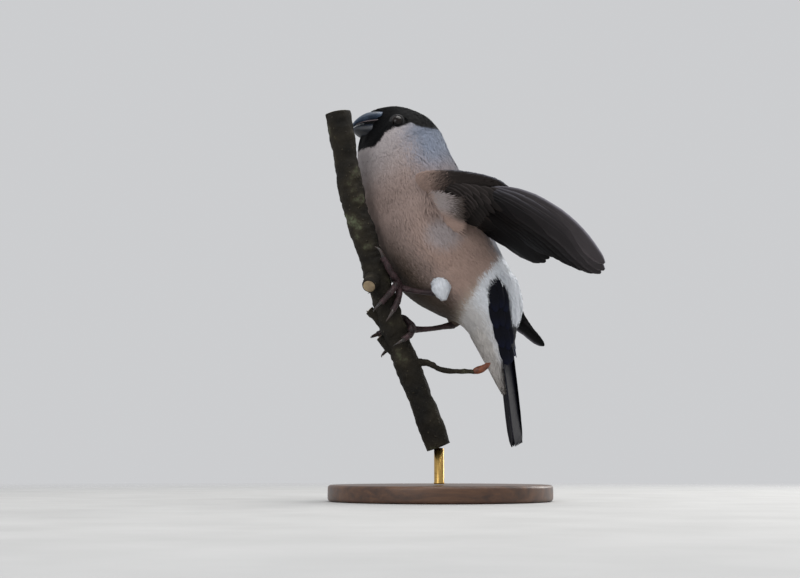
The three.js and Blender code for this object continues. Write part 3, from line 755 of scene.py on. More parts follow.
# Each band: name, stations, tufts to the square millimetre, length, width, fan and slot.
COATS = [
    ("coat_face", (0.05, 3.6), 9.0, 1.9, 0.26, (2, 0.25), "head_feathers"),
    ("coat_crown", (3.4, 6.0), 5.0, 3.0, 0.34, (2, 0.25), "head_feathers"),
    ("coat_neck", (5.6, 8.6), 2.7, 5.0, 0.42, (3, 0.3), "back_feathers"),
    ("coat_breast", (8.2, 11.4), 1.9, 6.6, 0.5, (3, 0.32), "breast_feathers"),
    ("coat_belly", (11.0, 13.8), 2.3, 7.0, 0.5, (3, 0.32), "breast_feathers"),
    ("coat_vent", (13.3, 15.6), 3.0, 6.5, 0.45, (3, 0.3), "white_feathers"),
]
for name, s_range, per_square, length, width, fan, slot in COATS:
    feathers = cap_feathers if slot == "head_feathers" else soft_feathers
    coat = Heap()
    roots = scatter(body_point, s_range, FULL_TURN, per_square * FINER, bare_left)
    lay_blades(coat, body_point, markings, roots, length, width, fan, coat_depth)
    coat.piece(name, feathers)

# %% [markdown]
# The eye is a ball a little sunk in the face, with a fine dark lid round it. A torus would look
# like a washer, so the lid is a ring whose thickness changes: fuller above, thin below.

# %% Eyes and lids
BALL_RINGS = 32
BALL_SIDES = 48
LID_LOOP = 2.584
LID_STEPS = 49
LID_SIDES = 10


def add_ball(name, middle, radius, material, replaces):
    polar, around = net(np.linspace(0.02, math.pi - 0.02, BALL_RINGS), circle(BALL_SIDES))
    points = np.stack([np.sin(polar) * np.cos(around), np.cos(polar),
                       np.sin(polar) * np.sin(around)], -1)
    heap = Heap()
    heap.add_rings(points * radius + middle)
    heap.piece(name, material, replaces)


for name, middle in EYES.items():
    add_ball(name + "_ball", middle, EYE_RADIUS, eye_wet, (name,))
    outward = unit(vec([-0.12, np.sign(middle[1]), 0.1]))
    level = unit(np.cross(outward, (0, 0, 1)))
    upright = np.cross(level, outward)
    turn = np.linspace(0, 2 * math.pi, LID_STEPS)[:, None]
    round_eye = np.cos(turn) * level + np.sin(turn) * upright * 0.94
    loop = middle + outward * 0.75 + LID_LOOP * round_eye
    thickness = 0.36 + 0.12 * np.sin(turn[:, 0])
    rim = Heap()
    rim.add_tube(loop, thickness, LID_SIDES)
    rim.piece(name + "_lid", lid_skin)

# %% [markdown]
# The bill is short, deep and swollen, with a strongly curved ridge and a slight hook. Stations
# from root to tip give its upper and lower line and half width. Each half is round outside and
# flatter where the two halves meet.

# %% Bill
UPPER_BILL = vec([
    [-21.5, 149.2, -22.5, 145.0, 5.0], [-24.6, 149.3, -24.6, 145.4, 5.0],
    [-27.6, 148.9, -27.2, 145.1, 4.7], [-30.2, 147.7, -29.8, 144.9, 3.8],
    [-32.4, 146.0, -32.0, 144.3, 2.6], [-33.9, 144.2, -33.5, 143.2, 1.1],
    [-34.4, 142.9, -34.1, 142.4, 0.35],
])
LOWER_BILL = vec([
    [-22.5, 144.6, -22.5, 138.8, 5.2], [-24.6, 145.0, -25.6, 138.5, 5.2],
    [-27.2, 144.7, -28.2, 138.9, 4.7], [-29.8, 144.4, -30.7, 139.6, 3.8],
    [-31.8, 143.9, -32.5, 140.9, 2.6], [-33.2, 143.1, -33.5, 142.1, 1.0],
])
BILL_RINGS = 40
BILL_SIDES = 48


def bill_half(name, stations, edge_sign, material):
    rows = along_curve(stations, np.linspace(0, 1, BILL_RINGS), even=True)
    angles = circle(BILL_SIDES)
    middle = (rows[:, 0:2] + rows[:, 2:4]) / 2
    up = (rows[:, 0:2] - rows[:, 2:4]) / 2
    lift = np.cos(angles)
    flat_edge = np.where(lift * edge_sign < 0, np.abs(lift) ** 1.5 * np.sign(lift), lift)
    full = np.abs(np.sin(angles)) ** 0.85 * np.sign(np.sin(angles))
    flat = middle[:, None] + up[:, None] * flat_edge[None, :, None]
    wide = rows[:, 4][:, None] * full[None]
    heap = Heap()
    heap.add_rings(np.stack([flat[..., 0], wide, flat[..., 1]], -1))
    heap.piece(name, material, (name.replace("_horn", ""),))


bill_half("bill_upper_horn", UPPER_BILL, 1, upper_horn)
bill_half("bill_lower_horn", LOWER_BILL, -1, lower_horn)

# %% [markdown]
# A fine lip of skin runs along the line where the bill shuts. It is a thin tube on each side that
# tapers towards the tip, and without it the two halves would meet in a hard black line.

# %% Edges of the gape
GAPE_LINE = vec([[-23.4, 4.6, 145.2], [-26.4, 4.3, 145.0], [-29.6, 3.3, 144.7],
                 [-32.0, 2.0, 144.1]])
GAPE_STEPS = 16
GAPE_SIDES = 8

gape = Heap()
for side in (-1, 1):
    corner = along_curve(GAPE_LINE * (1, side, 1), np.linspace(0, 1, GAPE_STEPS))
    gape.add_tube(corner, np.linspace(0.3, 0.1, GAPE_STEPS), GAPE_SIDES)
gape.piece("gape_edges", gape_skin)

# %% [markdown]
# A flight feather is a thin curved blade with a shaft. Its barbs run slantwise from the shaft, and
# here and there they part into small notches. Each blade is a loft of flat rings, so it has two
# faces and a real edge, and the shaft is a thin tube that stands out of both faces.

# %% Flight feather maker
LONG_SHAPE = vec([[0, 0.35], [0.12, 0.7], [0.4, 1], [0.8, 0.97], [0.92, 0.8], [0.975, 0.5],
                  [1, 0.12]])
SHORT_SHAPE = vec([[0, 0.5], [0.3, 0.9], [0.6, 1], [0.85, 0.78], [0.95, 0.45], [1, 0.08]])
VANE_STEPS = 22
VANE_SIDES = 7
SHAFT_SIDES = 5
CELL_GAP = 0.003


def there_and_back(rows):
    """The values of a flat ring: over its upper side, then back over its lower side."""
    return np.concatenate([rows, rows[:, ::-1]], 1)


def vane(heap, points, face, lead, trail, colours, cell, tilt=0.0, shape=LONG_SHAPE,
         thick=0.16, camber=0.5, shaft=0.36):
    """One feather. colours are its root, tip and leading edge; cell is its place in the bake."""
    t = np.sin(np.linspace(0, math.pi / 2, VANE_STEPS)) ** 1.3
    line = along_curve(points, t)
    ahead = unit(np.gradient(line, axis=0))
    side = unit(np.cross(ahead, face))
    up = np.cross(side, ahead)
    leaning = side * math.cos(tilt) + up * math.sin(tilt)
    up = up * math.cos(tilt) - side * math.sin(tilt)
    side = leaning
    share = np.interp(t, shape[:, 0], shape[:, 1])
    ragged = 1 - np.abs(random.normal(0, 0.035, (VANE_STEPS, 2)))
    across = np.linspace(-1, 1, VANE_SIDES)
    reach = np.where(across < 0, lead * across, trail * across)[None] * share[:, None]
    reach = reach * np.where(across < 0, ragged[:, :1], ragged[:, 1:])
    droop = -camber * across[None] ** 2 * share[:, None]
    top = line[:, None] + side[:, None] * reach[..., None] + up[:, None] * droop[..., None]
    half = thick / 2
    rings = np.concatenate([top + up[:, None] * half, (top - up[:, None] * half)[:, ::-1]], 1)
    root, tip, edge = (vec(c) for c in colours)
    tint = paint(root, tip, smooth_step(0.55, 1.0, t)[:, None])
    tint = paint(tint, edge, smooth_step(-0.55, -1.0, across)[None])
    fringe = smooth_step(0.78, 1.0, np.abs(across))[None] * smooth_step(0.1, 0.5, t)[:, None]
    tint = tint * (1 + 0.9 * fringe[..., None]) * random.uniform(0.82, 1.18)
    tint = tint * random.uniform(0.93, 1.07, (VANE_STEPS, VANE_SIDES, 1))
    grid_t, grid_a = net(t, across)
    barbs = np.stack([grid_a * 1.5, grid_t + 0.18 * np.abs(grid_a)], -1) + random.uniform(0, 20)
    spot = vec(cell[:2]) + np.stack([(grid_a + 1) / 2, grid_t], -1) * vec(cell[2:])
    heap.add_rings(rings, shade=there_and_back(tint), lie=there_and_back(barbs),
                   OFBake=there_and_back(spot))
    heap.add_tube(line, shaft * (1 - 0.85 * t) / 2 + 0.03, SHAFT_SIDES, shade=root * 1.2 + 0.02,
                  lie=(0.5, 0.5), OFBake=vec(cell[:2]) + vec(cell[2:]) * 0.5)


def between(a, b, t):
    return a + (b - a) * t


class Cells:
    """Hands out a place of its own in the bake to each feather of a piece."""

    def __init__(self, columns=12, rows=8):
        self.columns, self.rows, self.used = columns, rows, 0

    def next(self):
        column = self.used % self.columns
        row = self.used // self.columns % self.rows
        self.used += 1
        return (column / self.columns + CELL_GAP, row / self.rows + CELL_GAP,
                1 / self.columns - 2 * CELL_GAP, 1 / self.rows - 2 * CELL_GAP)


print("vane points each:", VANE_STEPS * VANE_SIDES * 2)

# %% [markdown]
# The near wing is lifted and swept back, so its underside shows, painted dark: partly its own
# colour and partly painted shade, as it faces away from the sky. Nine long feathers fan out from
# the hand, six from the forearm and three from beside the body. Their roots and tips are the same
# as in the solid wing, so the two agree.

# %% Long feathers of the near wing
UNDERSIDE = unit(vec([-0.5, -0.66, -0.56]))
LEFT_PRIMARY_TIPS = vec([
    [40.5, -20, 90.0], [42.6, -25, 88.4], [45.0, -31, 86.2], [47.7, -36.5, 83.4],
    [50.2, -42, 81.0], [52.4, -46.5, 79.3], [54.0, -50, 78.6], [54.9, -52.5, 79.4],
    [54.7, -54.5, 81.4],
])
LEFT_SECONDARY_TIPS = vec([
    [40.0, -17, 88.8], [38.9, -14.5, 87.8], [37.2, -13, 87.9], [35.1, -12, 89.2],
    [32.4, -12, 91.4], [29.0, -12, 93.8],
])
LEFT_TERTIAL_TIPS = vec([[25.3, -14, 96.2], [22.4, -16, 98.2], [19.7, -18, 99.8]])
HAND_ROOT, HAND_END = vec([4, -26, 115.2]), vec([17.5, -31, 112.6])
WRIST, ELBOW, ARMPIT = vec([3, -25, 114.4]), vec([2.5, -22, 108.5]), vec([-1.5, -21, 108.2])
# Brown of the inner flight feathers' underside: painted shade over their own dark grey.
SHADED_WING_BROWN = srgb(40, 35, 33)
WING_BLACK = srgb(20, 19, 20)
WING_GREY = srgb(100, 98, 104)
OUTER_GREY = srgb(68, 64, 66)


def wing_feather(heap, base, tip, colours, cell, bow, lead, trail, lift, tilt=-0.1, **shape):
    root = base + UNDERSIDE * lift
    end = tip + UNDERSIDE * lift * 0.6
    forward = unit(np.cross(UNDERSIDE, unit(end - root)))
    points = [root, root + (end - root) * 0.3 + forward * bow * 0.85,
              root + (end - root) * 0.65 + forward * bow * 0.95, end]
    vane(heap, points, UNDERSIDE, lead, trail, colours, cell, tilt, **shape)


wing = Heap()
cells = Cells()
for i, tip in enumerate(LEFT_PRIMARY_TIPS):
    t = i / (len(LEFT_PRIMARY_TIPS) - 1)
    outer = smooth_step(0.3, 1.0, t)
    body = paint(vec(WING_BLACK), OUTER_GREY, outer ** 2)
    edge = paint(vec(WING_BLACK), WING_GREY, outer)
    wing_feather(wing, between(HAND_ROOT, HAND_END, t), tip, (body * 0.8, body, edge),
                 cells.next(), 1.5 + 5.2 * t * t, 2.4, 5.4, -0.4 + 0.9 * t)
for i, tip in enumerate(LEFT_SECONDARY_TIPS):
    base = between(WRIST, ELBOW, i / (len(LEFT_SECONDARY_TIPS) - 1))
    wing_feather(wing, base, tip, (WING_BLACK, WING_BLACK, SHADED_WING_BROWN), cells.next(), 0.8, 3.2,
                 5.2, -0.6)
for i, tip in enumerate(LEFT_TERTIAL_TIPS):
    base = between(ELBOW, ARMPIT, i / (len(LEFT_TERTIAL_TIPS) - 1))
    wing_feather(wing, base, tip, (SHADED_WING_BROWN, WING_BLACK, SHADED_WING_BROWN), cells.next(), 0.5, 3.6,
                 4.4, -0.8)
print("long feathers of the near wing:", cells.used)

# %% [markdown]
# Coverts hide the roots of the long feathers. Three dark rows lie below the wing, each shorter and
# lower than the one before; they are pale on the bird and painted dark as painted shade. Two rows
# lie above, the outer one with pale tips.

# %% Coverts of the near wing
PALE_COVERT = srgb(170, 170, 176)
ARM_UNDER_SHADE = srgb(44, 39, 37)
# The lining below the wing is pale grey-white on the bird; these browns are painted shade.
LINING_DEEP_SHADE = vec(srgb(36, 33, 32))
LINING_SOFT_SHADE = vec(srgb(50, 46, 45))
COVERT_SPAN = [[19, -32, 112.2], HAND_ROOT, [1, -23.5, 110.5], ARMPIT]
COVERT_TIPS = [[33, -38, 104.8], [18, -27, 103.5], [14, -21, 100.5], [11, -20, 102.2]]
COVERT_COUNT = 16
SHORT_FEATHER = {"shape": SHORT_SHAPE, "camber": 0.3, "shaft": 0.16}

for i in range(COVERT_COUNT):
    t = (i + 0.5) / COVERT_COUNT
    base = along_curve(COVERT_SPAN, t)
    tip = along_curve(COVERT_TIPS, t)
    pale = paint(LINING_SOFT_SHADE, ARM_UNDER_SHADE, smooth_step(0.3, 0.8, t))
    # Each row: its reach, its colours, how far it lies below the wing, and its tilt.
    for reach, colours, lift, tilt in (
        (1.0, (LINING_DEEP_SHADE * 0.7, LINING_DEEP_SHADE, LINING_DEEP_SHADE), 1.1, -0.1),
        (0.72, (LINING_DEEP_SHADE, pale, pale), 1.6, -0.1),
        (0.45, (pale, pale, pale), 2.1, -0.1),
        (0.92, (WING_BLACK, PALE_COVERT, WING_BLACK), -2.1, 0.1),
        (0.6, (BACK, BACK, BACK), -2.6, 0.1),
    ):
        wing_feather(wing, base, between(base, tip, reach), colours, cells.next(), 0.3, 1.9, 2.2,
                     lift, tilt, **SHORT_FEATHER)
wing.piece("wing_left_feathers", flight_feathers, replaces=("wing_left",))

# %% [markdown]
# Small soft feathers clothe the arm, the thighs and the root of the tail. Each of these is a
# sleeve: a closed skin round a line, with the same blades over it as on the body. Its skin is
# painted darker than its blades, as painted shade between them. A sleeve is laid out flat in its
# own strip of the bake, beside the places of its blades.

# %% Sleeves
SLEEVE_SHARE = 0.2


def sleeve_over(line, radii, facing, wide, thick, step):
    """A surface round a line. s runs from 0 at its root to 1 at its end."""
    def surface(s, angle, height=0.0):
        s, angle, height = grids(s, angle, height)
        ahead = unit(along_curve(line, s + step) - along_curve(line, s - step))
        across = unit(np.cross(facing, ahead))
        over = np.cross(ahead, across)
        radius = evenly(radii, s)
        return (along_curve(line, s)
                + ((radius * wide + height) * np.cos(angle))[..., None] * across
                + ((radius * thick + height) * np.sin(angle))[..., None] * over)
    return surface


def sleeve_grid(rings=40, sides=32, last=1.0):
    """Places all over a sleeve, ring by ring, and its strip of the bake."""
    s, angle = net(np.linspace(0, last, rings), circle(sides))
    return s, angle, np.stack([angle / (2 * math.pi) * (SLEEVE_SHARE - 0.01), s], -1)


print("share of the bake for a sleeve's skin:", SLEEVE_SHARE)

# %% [markdown]
# The arm's sleeve is flattened and lies round the bones from shoulder to hand. It is blue-grey
# above and painted dark below, as painted shade over the pale underwing, and where it leaves the
# body it takes the flank's colour, darkened as painted shade at the wing's root.

# %% Arm
ARM_LINE = [[-8, -11.5, 114], [-3, -19.5, 115], [6, -26, 115.4], [19, -31.8, 113],
            [24, -34.4, 110.4]]
ARM_RADII = [5.4, 4.9, 3.3, 1.8, 0.7]
arm_point = sleeve_over(ARM_LINE, ARM_RADII, UNDERSIDE, 1.25, 0.55, 0.01)


def arm_colour(s, angle, points, wobble=0.0):
    # Dark below is painted shade; the flank's colour at the root is darkened as painted shade.
    below = smooth_step(-0.3, 0.3, np.sin(angle) + wobble * 0.1)
    colour = paint(BACK, ARM_UNDER_SHADE, below)
    root = 1 - smooth_step(0.2, 0.5, s + wobble * 0.06)
    colour = paint(colour, vec(FLANK) * 0.85, root)
    axil = smooth_step(0.2, 0.6, np.sin(angle)) * smooth_step(0.1, 0.5, -np.cos(angle))
    return paint(colour, PALE_COVERT, axil * root * smooth_step(0.1, 0.2, s))


sleeve = Heap()
s, angle, strip = sleeve_grid(last=0.98)
arm_points = arm_point(s, angle, -0.3)
# The sleeve's skin is darker than its blades: painted shade between them.
sleeve.add_rings(arm_points, shade=arm_colour(s, angle, arm_points) * 0.7,
                 lie=np.stack([angle * 3, s * 20], -1), OFBake=strip)
roots = scatter(arm_point, (0.02, 0.93), FULL_TURN, 3.2 * FINER)
lay_blades(sleeve, arm_point, arm_colour, roots, 4.4, 0.4, (3, 0.3), 0.9,
           turn=-0.5, last_s=1, bake_from=SLEEVE_SHARE)
sleeve.piece("arm_coat", soft_feathers)

# %% [markdown]
# Where the wing leaves the body, longer flank feathers rise over its root, so no hard line shows.

# %% Feathers round the wing's root
def round_wing_root(points, s, angle):
    x, y, z = points[..., 0], points[..., 1], points[..., 2]
    along = (x + 6) / 15
    gap = np.abs(z - (112.5 - 5.5 * along))
    return (y < 0) & (along > 0) & (along < 1) & (gap < 3.4)


collar = Heap()
roots = scatter(body_point, (5.5, 10.5), FULL_TURN, 2.2 * FINER, round_wing_root)
lay_blades(collar, body_point, markings, roots, 7.0, 0.5, (3, 0.28), 3.2, drift=0.12)
collar.piece("wing_root_coat", soft_feathers)

# %% [markdown]
# The long soft feathers of the armpit reach from the flank out over the wing's inner coverts.
# Their blades lie on an unseen sheet that leaves the body and then follows the wing from below,
# palest at the top and brown at their tips like the wing's underside, as painted shade.

# %% Armpit feathers
ARMPIT_PALE = srgb(158, 153, 154)
ARMPIT_SHADED_BROWN = srgb(70, 62, 58)


def armpit_point(s, across, height=0.0):
    """A place on the sheet. s runs from flank to wing and across from top to bottom, 0 to 1."""
    s, across, height = grids(s, across, height)
    x = -7.0 + 1.8 * across + (16.0 - 3.0 * across) * s
    z = 113.6 - 9.0 * across - 6.0 * s
    body_y = -19.0 - 0.14 * (113.6 - z)
    flat = UNDERSIDE[0] * (x - ARMPIT[0]) + UNDERSIDE[2] * (z - ARMPIT[2])
    wing_y = np.minimum(ARMPIT[1] + (2.0 - flat) / UNDERSIDE[1], body_y)
    y = body_y + (wing_y - body_y) * smooth_step(0.0, 0.5, s)
    return np.stack([x, y, z], -1) + height[..., None] * UNDERSIDE


def armpit_colour(s, across, points, wobble=0.0):
    pale = smooth_step(0.12, 0.4, s + wobble * 0.1) * (1 - smooth_step(0.35, 0.8, across))
    colour = paint(FLANK, ARMPIT_PALE, pale * 0.75)
    # Brown at the tips under the wing: painted shade.
    brown = smooth_step(0.5, 0.95, s + wobble * 0.14) * (1 - smooth_step(0.55, 0.85, across))
    return paint(colour, ARMPIT_SHADED_BROWN, brown)


armpit = Heap()
roots = scatter(armpit_point, (0.0, 0.78), (0.0, 1.0), 5.0 * FINER)
lay_blades(armpit, armpit_point, armpit_colour, roots, 5.2, 0.36, (3, 0.24), 0.8, drift=0.18,
           last_s=1)
armpit.piece("armpit_feathers", soft_feathers)

# %% [markdown]
# The far wing is folded along the flank. Its feathers lie on a bent sheet that has one direction
# from shoulder to tip and one from its lower to its upper edge, so each feather is placed by two
# shares, and the sheet bends it to the body.

# %% Far wing
FOLDED_MIDDLE = [[-6, 18.6, 116], [4.5, 21.4, 104], [16.5, 20.6, 88.8], [30, 18.6, 71.6],
                 [42, 17.6, 60.0]]
FOLDED_HALF_WIDTH = [9, 11, 9.5, 3.6, 1.6]
FOLDED_COVERTS = 13


def folded_point(u, v, lift=0.0):
    u, v, lift = grids(np.clip(u, 0, 1), v, lift)
    half = evenly(FOLDED_HALF_WIDTH, u)
    inward = 0.42 * half * v * np.abs(v)
    middle = along_curve(FOLDED_MIDDLE, u, even=True)
    y = np.where(v > 0, -inward, inward * 0.35) + lift
    return middle + (half * v)[..., None] * vec([0.77, 0, 0.64]) + y[..., None] * vec([0, 1, 0])


def folded_feather(heap, start, end, colours, cell, width, lift, **shape):
    t = vec([0, 0.35, 0.7, 1])
    points = folded_point(between(start[0], end[0], t), between(start[1], end[1], t),
                          lift * (1 - 0.3 * t))
    slope = (start[1] + end[1]) / 2
    face = vec([0.3 * slope + 0.1, 1, 0.25 * slope + 0.1])
    vane(heap, points, face, width, width, colours, cell, -0.07, **shape)


folded = Heap()
cells = Cells()
for i in range(len(LEFT_PRIMARY_TIPS)):
    folded_feather(folded, (0.3, -0.45 + 0.05 * i), (1 - 0.028 * i, -0.2 + 0.12 * i),
                   (WING_BLACK, WING_BLACK, WING_GREY), cells.next(), 2.4, -0.4 + 0.13 * i)
for i in range(len(LEFT_SECONDARY_TIPS)):
    folded_feather(folded, (0.2, -0.6 + 0.16 * i), (0.66 - 0.012 * i, -0.42 + 0.2 * i),
                   (GLOSS_BLACK, GLOSS_BLACK, WING_BLACK), cells.next(), 3.2, 0.9 + 0.15 * i)
for i in range(len(LEFT_TERTIAL_TIPS)):
    folded_feather(folded, (0.16, 0.2 + 0.2 * i), (0.6 - 0.07 * i, 0.62 + 0.1 * i),
                   (GLOSS_BLACK, GLOSS_BLACK, BACK), cells.next(), 3.4, 1.9)
for i in range(FOLDED_COVERTS):
    v = -0.84 + 0.135 * i
    folded_feather(folded, (0.1, v * 0.9), (0.36 - 0.005 * i, v), (GLOSS_BLACK, PALE_COVERT, BACK),
                   cells.next(), 2.1, 2.5, **SHORT_FEATHER)
    folded_feather(folded, (0.04, v * 0.8), (0.235, v * 0.95), (BACK, NAPE, BACK), cells.next(),
                   2.0, 3.0, **SHORT_FEATHER)
folded.piece("wing_right_feathers", flight_feathers, replaces=("wing_right",))

# %% [markdown]
# A bent pad fills the folded wing from inside, so no light shows between its feathers, and the
# small feathers of the shoulder grow from its upper end.

# %% Shoulder of the far wing
PAD_RINGS = 40
PAD_SIDES = 24

pad_u, pad_v = net(np.linspace(0, 0.8, PAD_RINGS), np.linspace(-1, 1, PAD_SIDES))
pad_edge = pad_v * (0.97 - 0.35 * pad_u)
pad_outer = folded_point(pad_u, pad_edge, 0.6 - 0.9 * pad_v ** 2)
pad_inner = folded_point(pad_u, pad_edge, -4.5 + 4.6 * pad_u - 0.9 * pad_v ** 2)
pad_unwrap = np.stack([0.2 + 0.3 * (pad_v + 1), pad_u], -1)
shoulder = Heap()
shoulder.add_rings(np.concatenate([pad_outer, pad_inner[:, ::-1]], 1), shade=WING_BLACK,
                   lie=(0.5, 0.5), OFBake=there_and_back(pad_unwrap))
roots = scatter(folded_point, (0.0, 0.2), (-0.9, 0.95), 90.0 * FINER / 13)
lay_blades(shoulder, lambda u, v, h: folded_point(u, v, 2.6 + h), all_of(BACK), roots, 3.6, 0.42,
           (3, 0.3), 0.9, last_s=1)
shoulder.piece("wing_right_shoulder", soft_feathers)

# %% [markdown]
# Twelve long feathers make the closed tail. They lie on each other like a hand of cards, the
# middle pair on top. Glossy black coverts cover their roots above, and white ones below.

# %% Tail
TAIL_PAIRS = 6
TAIL_COVERTS = 22
TAIL_BLACK = srgb(30, 30, 36)
COVERT_BLUE = srgb(24, 30, 52)
tail = Heap()
cells = Cells()
for place in reversed(range(TAIL_PAIRS)):
    for side in (-1, 1):
        spread = 1.4 + 1.35 * place
        depth = 0.6 * place
        points = [[26.2 - 0.6 * depth, side * spread * 0.3, 70],
                  [27.0 - depth, side * spread * 0.55, 58],
                  [28.7 - depth, side * spread * 0.8, 42],
                  [30.8 - depth, side * spread, 21.6 - 0.3 * place]]
        lead, trail = (3.6, 2.6) if side < 0 else (2.6, 3.6)
        vane(tail, points, vec([1, side * 0.22, 0.08]), lead, trail,
             (GLOSS_BLACK, TAIL_BLACK, TAIL_BLACK), cells.next(), side * 0.1)
for i in range(TAIL_COVERTS):
    place = random.uniform(-2.3, 2.3)
    row = i / (TAIL_COVERTS - 1)
    near = abs(place)
    points = [[26.0 - 1.3 * near + 0.4 * row, 2.6 * place, 79 - 3 * row],
              [27.6 - 1.3 * near + 0.4 * row, 3.0 * place, 67 - 3 * row],
              [29.0 - 1.4 * near + 0.4 * row, 2.4 * place, 58 - 5 * row + 1.5 * near]]
    vane(tail, points, vec([1, 0.5 * place, 0.1]), 1.9, 1.9,
         (GLOSS_BLACK, COVERT_BLUE, GLOSS_BLACK), cells.next(), shape=SHORT_SHAPE, shaft=0.14)
tail.piece("tail_feathers", flight_feathers, replaces=("tail",))

# %% [markdown]
# Between the white rump and the white vent the black tail shows its root on both sides. Short
# glossy feathers cover it, each one laid on the body at places given in the side view. A search
# over a fine net of places finds where on the body such a place is.

# %% Root of the tail
ROOT_FEATHERS = [
    ([19.4, 79.2], [20.8, 69.6]), ([21.2, 81.2], [22.8, 71.0]), ([22.8, 79.6], [24.8, 69.8]),
    ([18.8, 74.2], [21.4, 63.6]), ([20.8, 75.2], [23.6, 64.4]), ([23.2, 74.6], [25.6, 63.4]),
    ([20.4, 67.0], [23.6, 56.6]), ([22.6, 68.0], [25.8, 56.0]), ([24.4, 69.0], [26.8, 58.0]),
    ([22.4, 60.4], [25.6, 50.0]), ([24.4, 61.0], [27.4, 49.6]),
]
ROOT_BLUE = srgb(17, 21, 38)
side_s, side_angle = net(np.linspace(11, SKIN_END, 320), np.linspace(0, math.pi, 160))


def on_side(x, z, side, height):
    """The place on one side of the body that is seen at x, z from the side."""
    points = body_point(side_s, side_angle, height)
    best = np.argmin((points[..., 0] - x) ** 2 + (points[..., 2] - z) ** 2)
    return points.reshape(-1, 3)[best] * (1, side, 1)


tail_root = Heap()
cells = Cells(6, 4)
for i, (start, end) in enumerate(ROOT_FEATHERS):
    for side in (-1, 1):
        places = [between(vec(start), vec(end), t) for t in (0, 0.5, 1)]
        points = [on_side(*at, side, 1.7 + 0.5 * k) for k, at in enumerate(places)]
        vane(tail_root, points, vec([0.1, side, 0.1]), 1.9, 1.9,
             (GLOSS_BLACK, ROOT_BLUE, GLOSS_BLACK), cells.next(), shape=SHORT_SHAPE,
             camber=0.35, shaft=0.12)
tail_root.piece("tail_root_feathers", flight_feathers)

# %% [markdown]
# Downy white rump feathers hang over the back edge of the black ones, so the edge is soft.

# %% Rump feathers
def over_tail_root(points, s, angle):
    x, z = points[..., 0], points[..., 2]
    return (x > line_at(TAIL_ROOT_BACK, z) - 0.6) & (z > 70) & (z < 86)


lobe = Heap()
roots = scatter(body_point, (11.4, 15.0), FULL_TURN, 2.6 * FINER, over_tail_root)
lay_blades(lobe, body_point, all_of(WHITE), roots, 6.0, 0.42, (3, 0.24), 2.6, drift=0.1)
lobe.piece("rump_feathers", soft_feathers)

# %% [markdown]
# White coverts wrap the root of the tail below. They are a tapering sleeve with downy blades.

# %% Under tail coverts
VENT_LINE = vec([[10.5, 64.5], [14.6, 56.8], [18.6, 49.4], [21.6, 43.6], [24.0, 39.4]])
VENT_BACK = vec([[19.0, 70.0], [21.4, 62.0], [23.8, 55.0], [24.6, 46.0], [25.0, 39.8]])
VENT_WIDTH = [8.6, 7.6, 6.2, 4.4, 1.6]
VENT_GREY = srgb(150, 150, 152)


def vent_point(s, angle, height=0.0):
    """A place on the tuft below the tail. s runs from 0 at the vent to 1 at its tip."""
    s, angle, height = grids(s, angle, height)
    low = along_curve(VENT_LINE, s, even=True)
    high = along_curve(VENT_BACK, s, even=True)
    middle, up = (low + high) / 2, (high - low) / 2
    size = np.maximum(np.linalg.norm(up, axis=-1), 0.1)
    wide = evenly(VENT_WIDTH, s) - 1.3 + height
    flat = middle + up / size[..., None] * ((size - 1.0 + height) * np.cos(angle))[..., None]
    return np.stack([flat[..., 0], wide * np.sin(angle), flat[..., 1]], -1)


def vent_colour(s, angle, points, wobble=0.0):
    grey = smooth_step(0.75, 1.1, s + wobble * 0.05) * 0.35
    return paint(SHADED_WHITE, VENT_GREY, grey)


vent = Heap()
s, angle, strip = sleeve_grid()
# The sleeve's skin is darker than its blades: painted shade between them.
vent.add_rings(vent_point(s, angle), shade=vec(WHITE) * 0.6, lie=(0.5, 0.5), OFBake=strip)
roots = scatter(vent_point, (0.0, 0.86), (math.pi * 0.38, math.pi * 1.62), 3.4 * FINER)
lay_blades(vent, vent_point, vent_colour, roots, 6.4, 0.42, (3, 0.28), 1.2, last_s=1,
           bake_from=SLEEVE_SHARE)
vent.piece("under_tail_coverts", soft_feathers)

# %% [markdown]
# Each thigh ends in a short soft tuft over the ankle, white on the near leg and brown on the far
# one, the belly's tone, partly its own colour and partly painted shade. It is a tapered sleeve
# with downy blades, like the arm, but looser.

# %% Thighs
# Each thigh: its line, its radii and its colour at the ankle.
THIGHS = {
    "thigh_left": (
        [[-0.8, -13.6, 83.2], [0.0, -15.4, 80.4], [0.4, -16.6, 77.2], [1.2, -16.9, 73.4]],
        [1.0, 3.3, 3.5, 0.4], WHITE,
    ),
    "thigh_right": (
        [[8.0, 10.5, 76], [7.4, 8.6, 72.5], [6.2, 6.2, 68.6], [5.6, 5.2, 66.4]],
        # The far thigh's brown is the belly's tone, partly painted shade.
        [6.0, 4.6, 2.6, 0.8], srgb(104, 92, 82),
    ),
}


def flank_to(end):
    """A colour rule that leads from the flank's colour to another."""
    def colour(s, angle, points, wobble=0.0):
        return paint(FLANK, end, smooth_step(0.1, 0.3, s + wobble * 0.06))
    return colour


for name, (line, radii, end) in THIGHS.items():
    thigh_point = sleeve_over(line, radii, (0, -1, 0), 0.8, 0.8, 0.02)
    tuft = Heap()
    s, angle, strip = sleeve_grid(30, 24)
    # The sleeve's skin is darker than its blades: painted shade between them.
    tuft.add_rings(thigh_point(s, angle), shade=vec(end) * 0.55, lie=(0.5, 0.5), OFBake=strip)
    roots = scatter(thigh_point, (0.1, 0.8), FULL_TURN, 5.0 * FINER)
    lay_blades(tuft, thigh_point, flank_to(end), roots, 4.4, 0.34, (3, 0.3),
               lambda s: 1.3 - 0.8 * s, last_s=1, bake_from=SLEEVE_SHARE, drift=0.3)
    tuft.piece(name + "_tuft", soft_feathers, replaces=(name,))

# %% [markdown]
# The stem is a living twig with dark olive-brown bark, small pale pores and patches of lichen. The
# bark's fine relief comes from noise in the finish, which is far cheaper than modelled cracks.

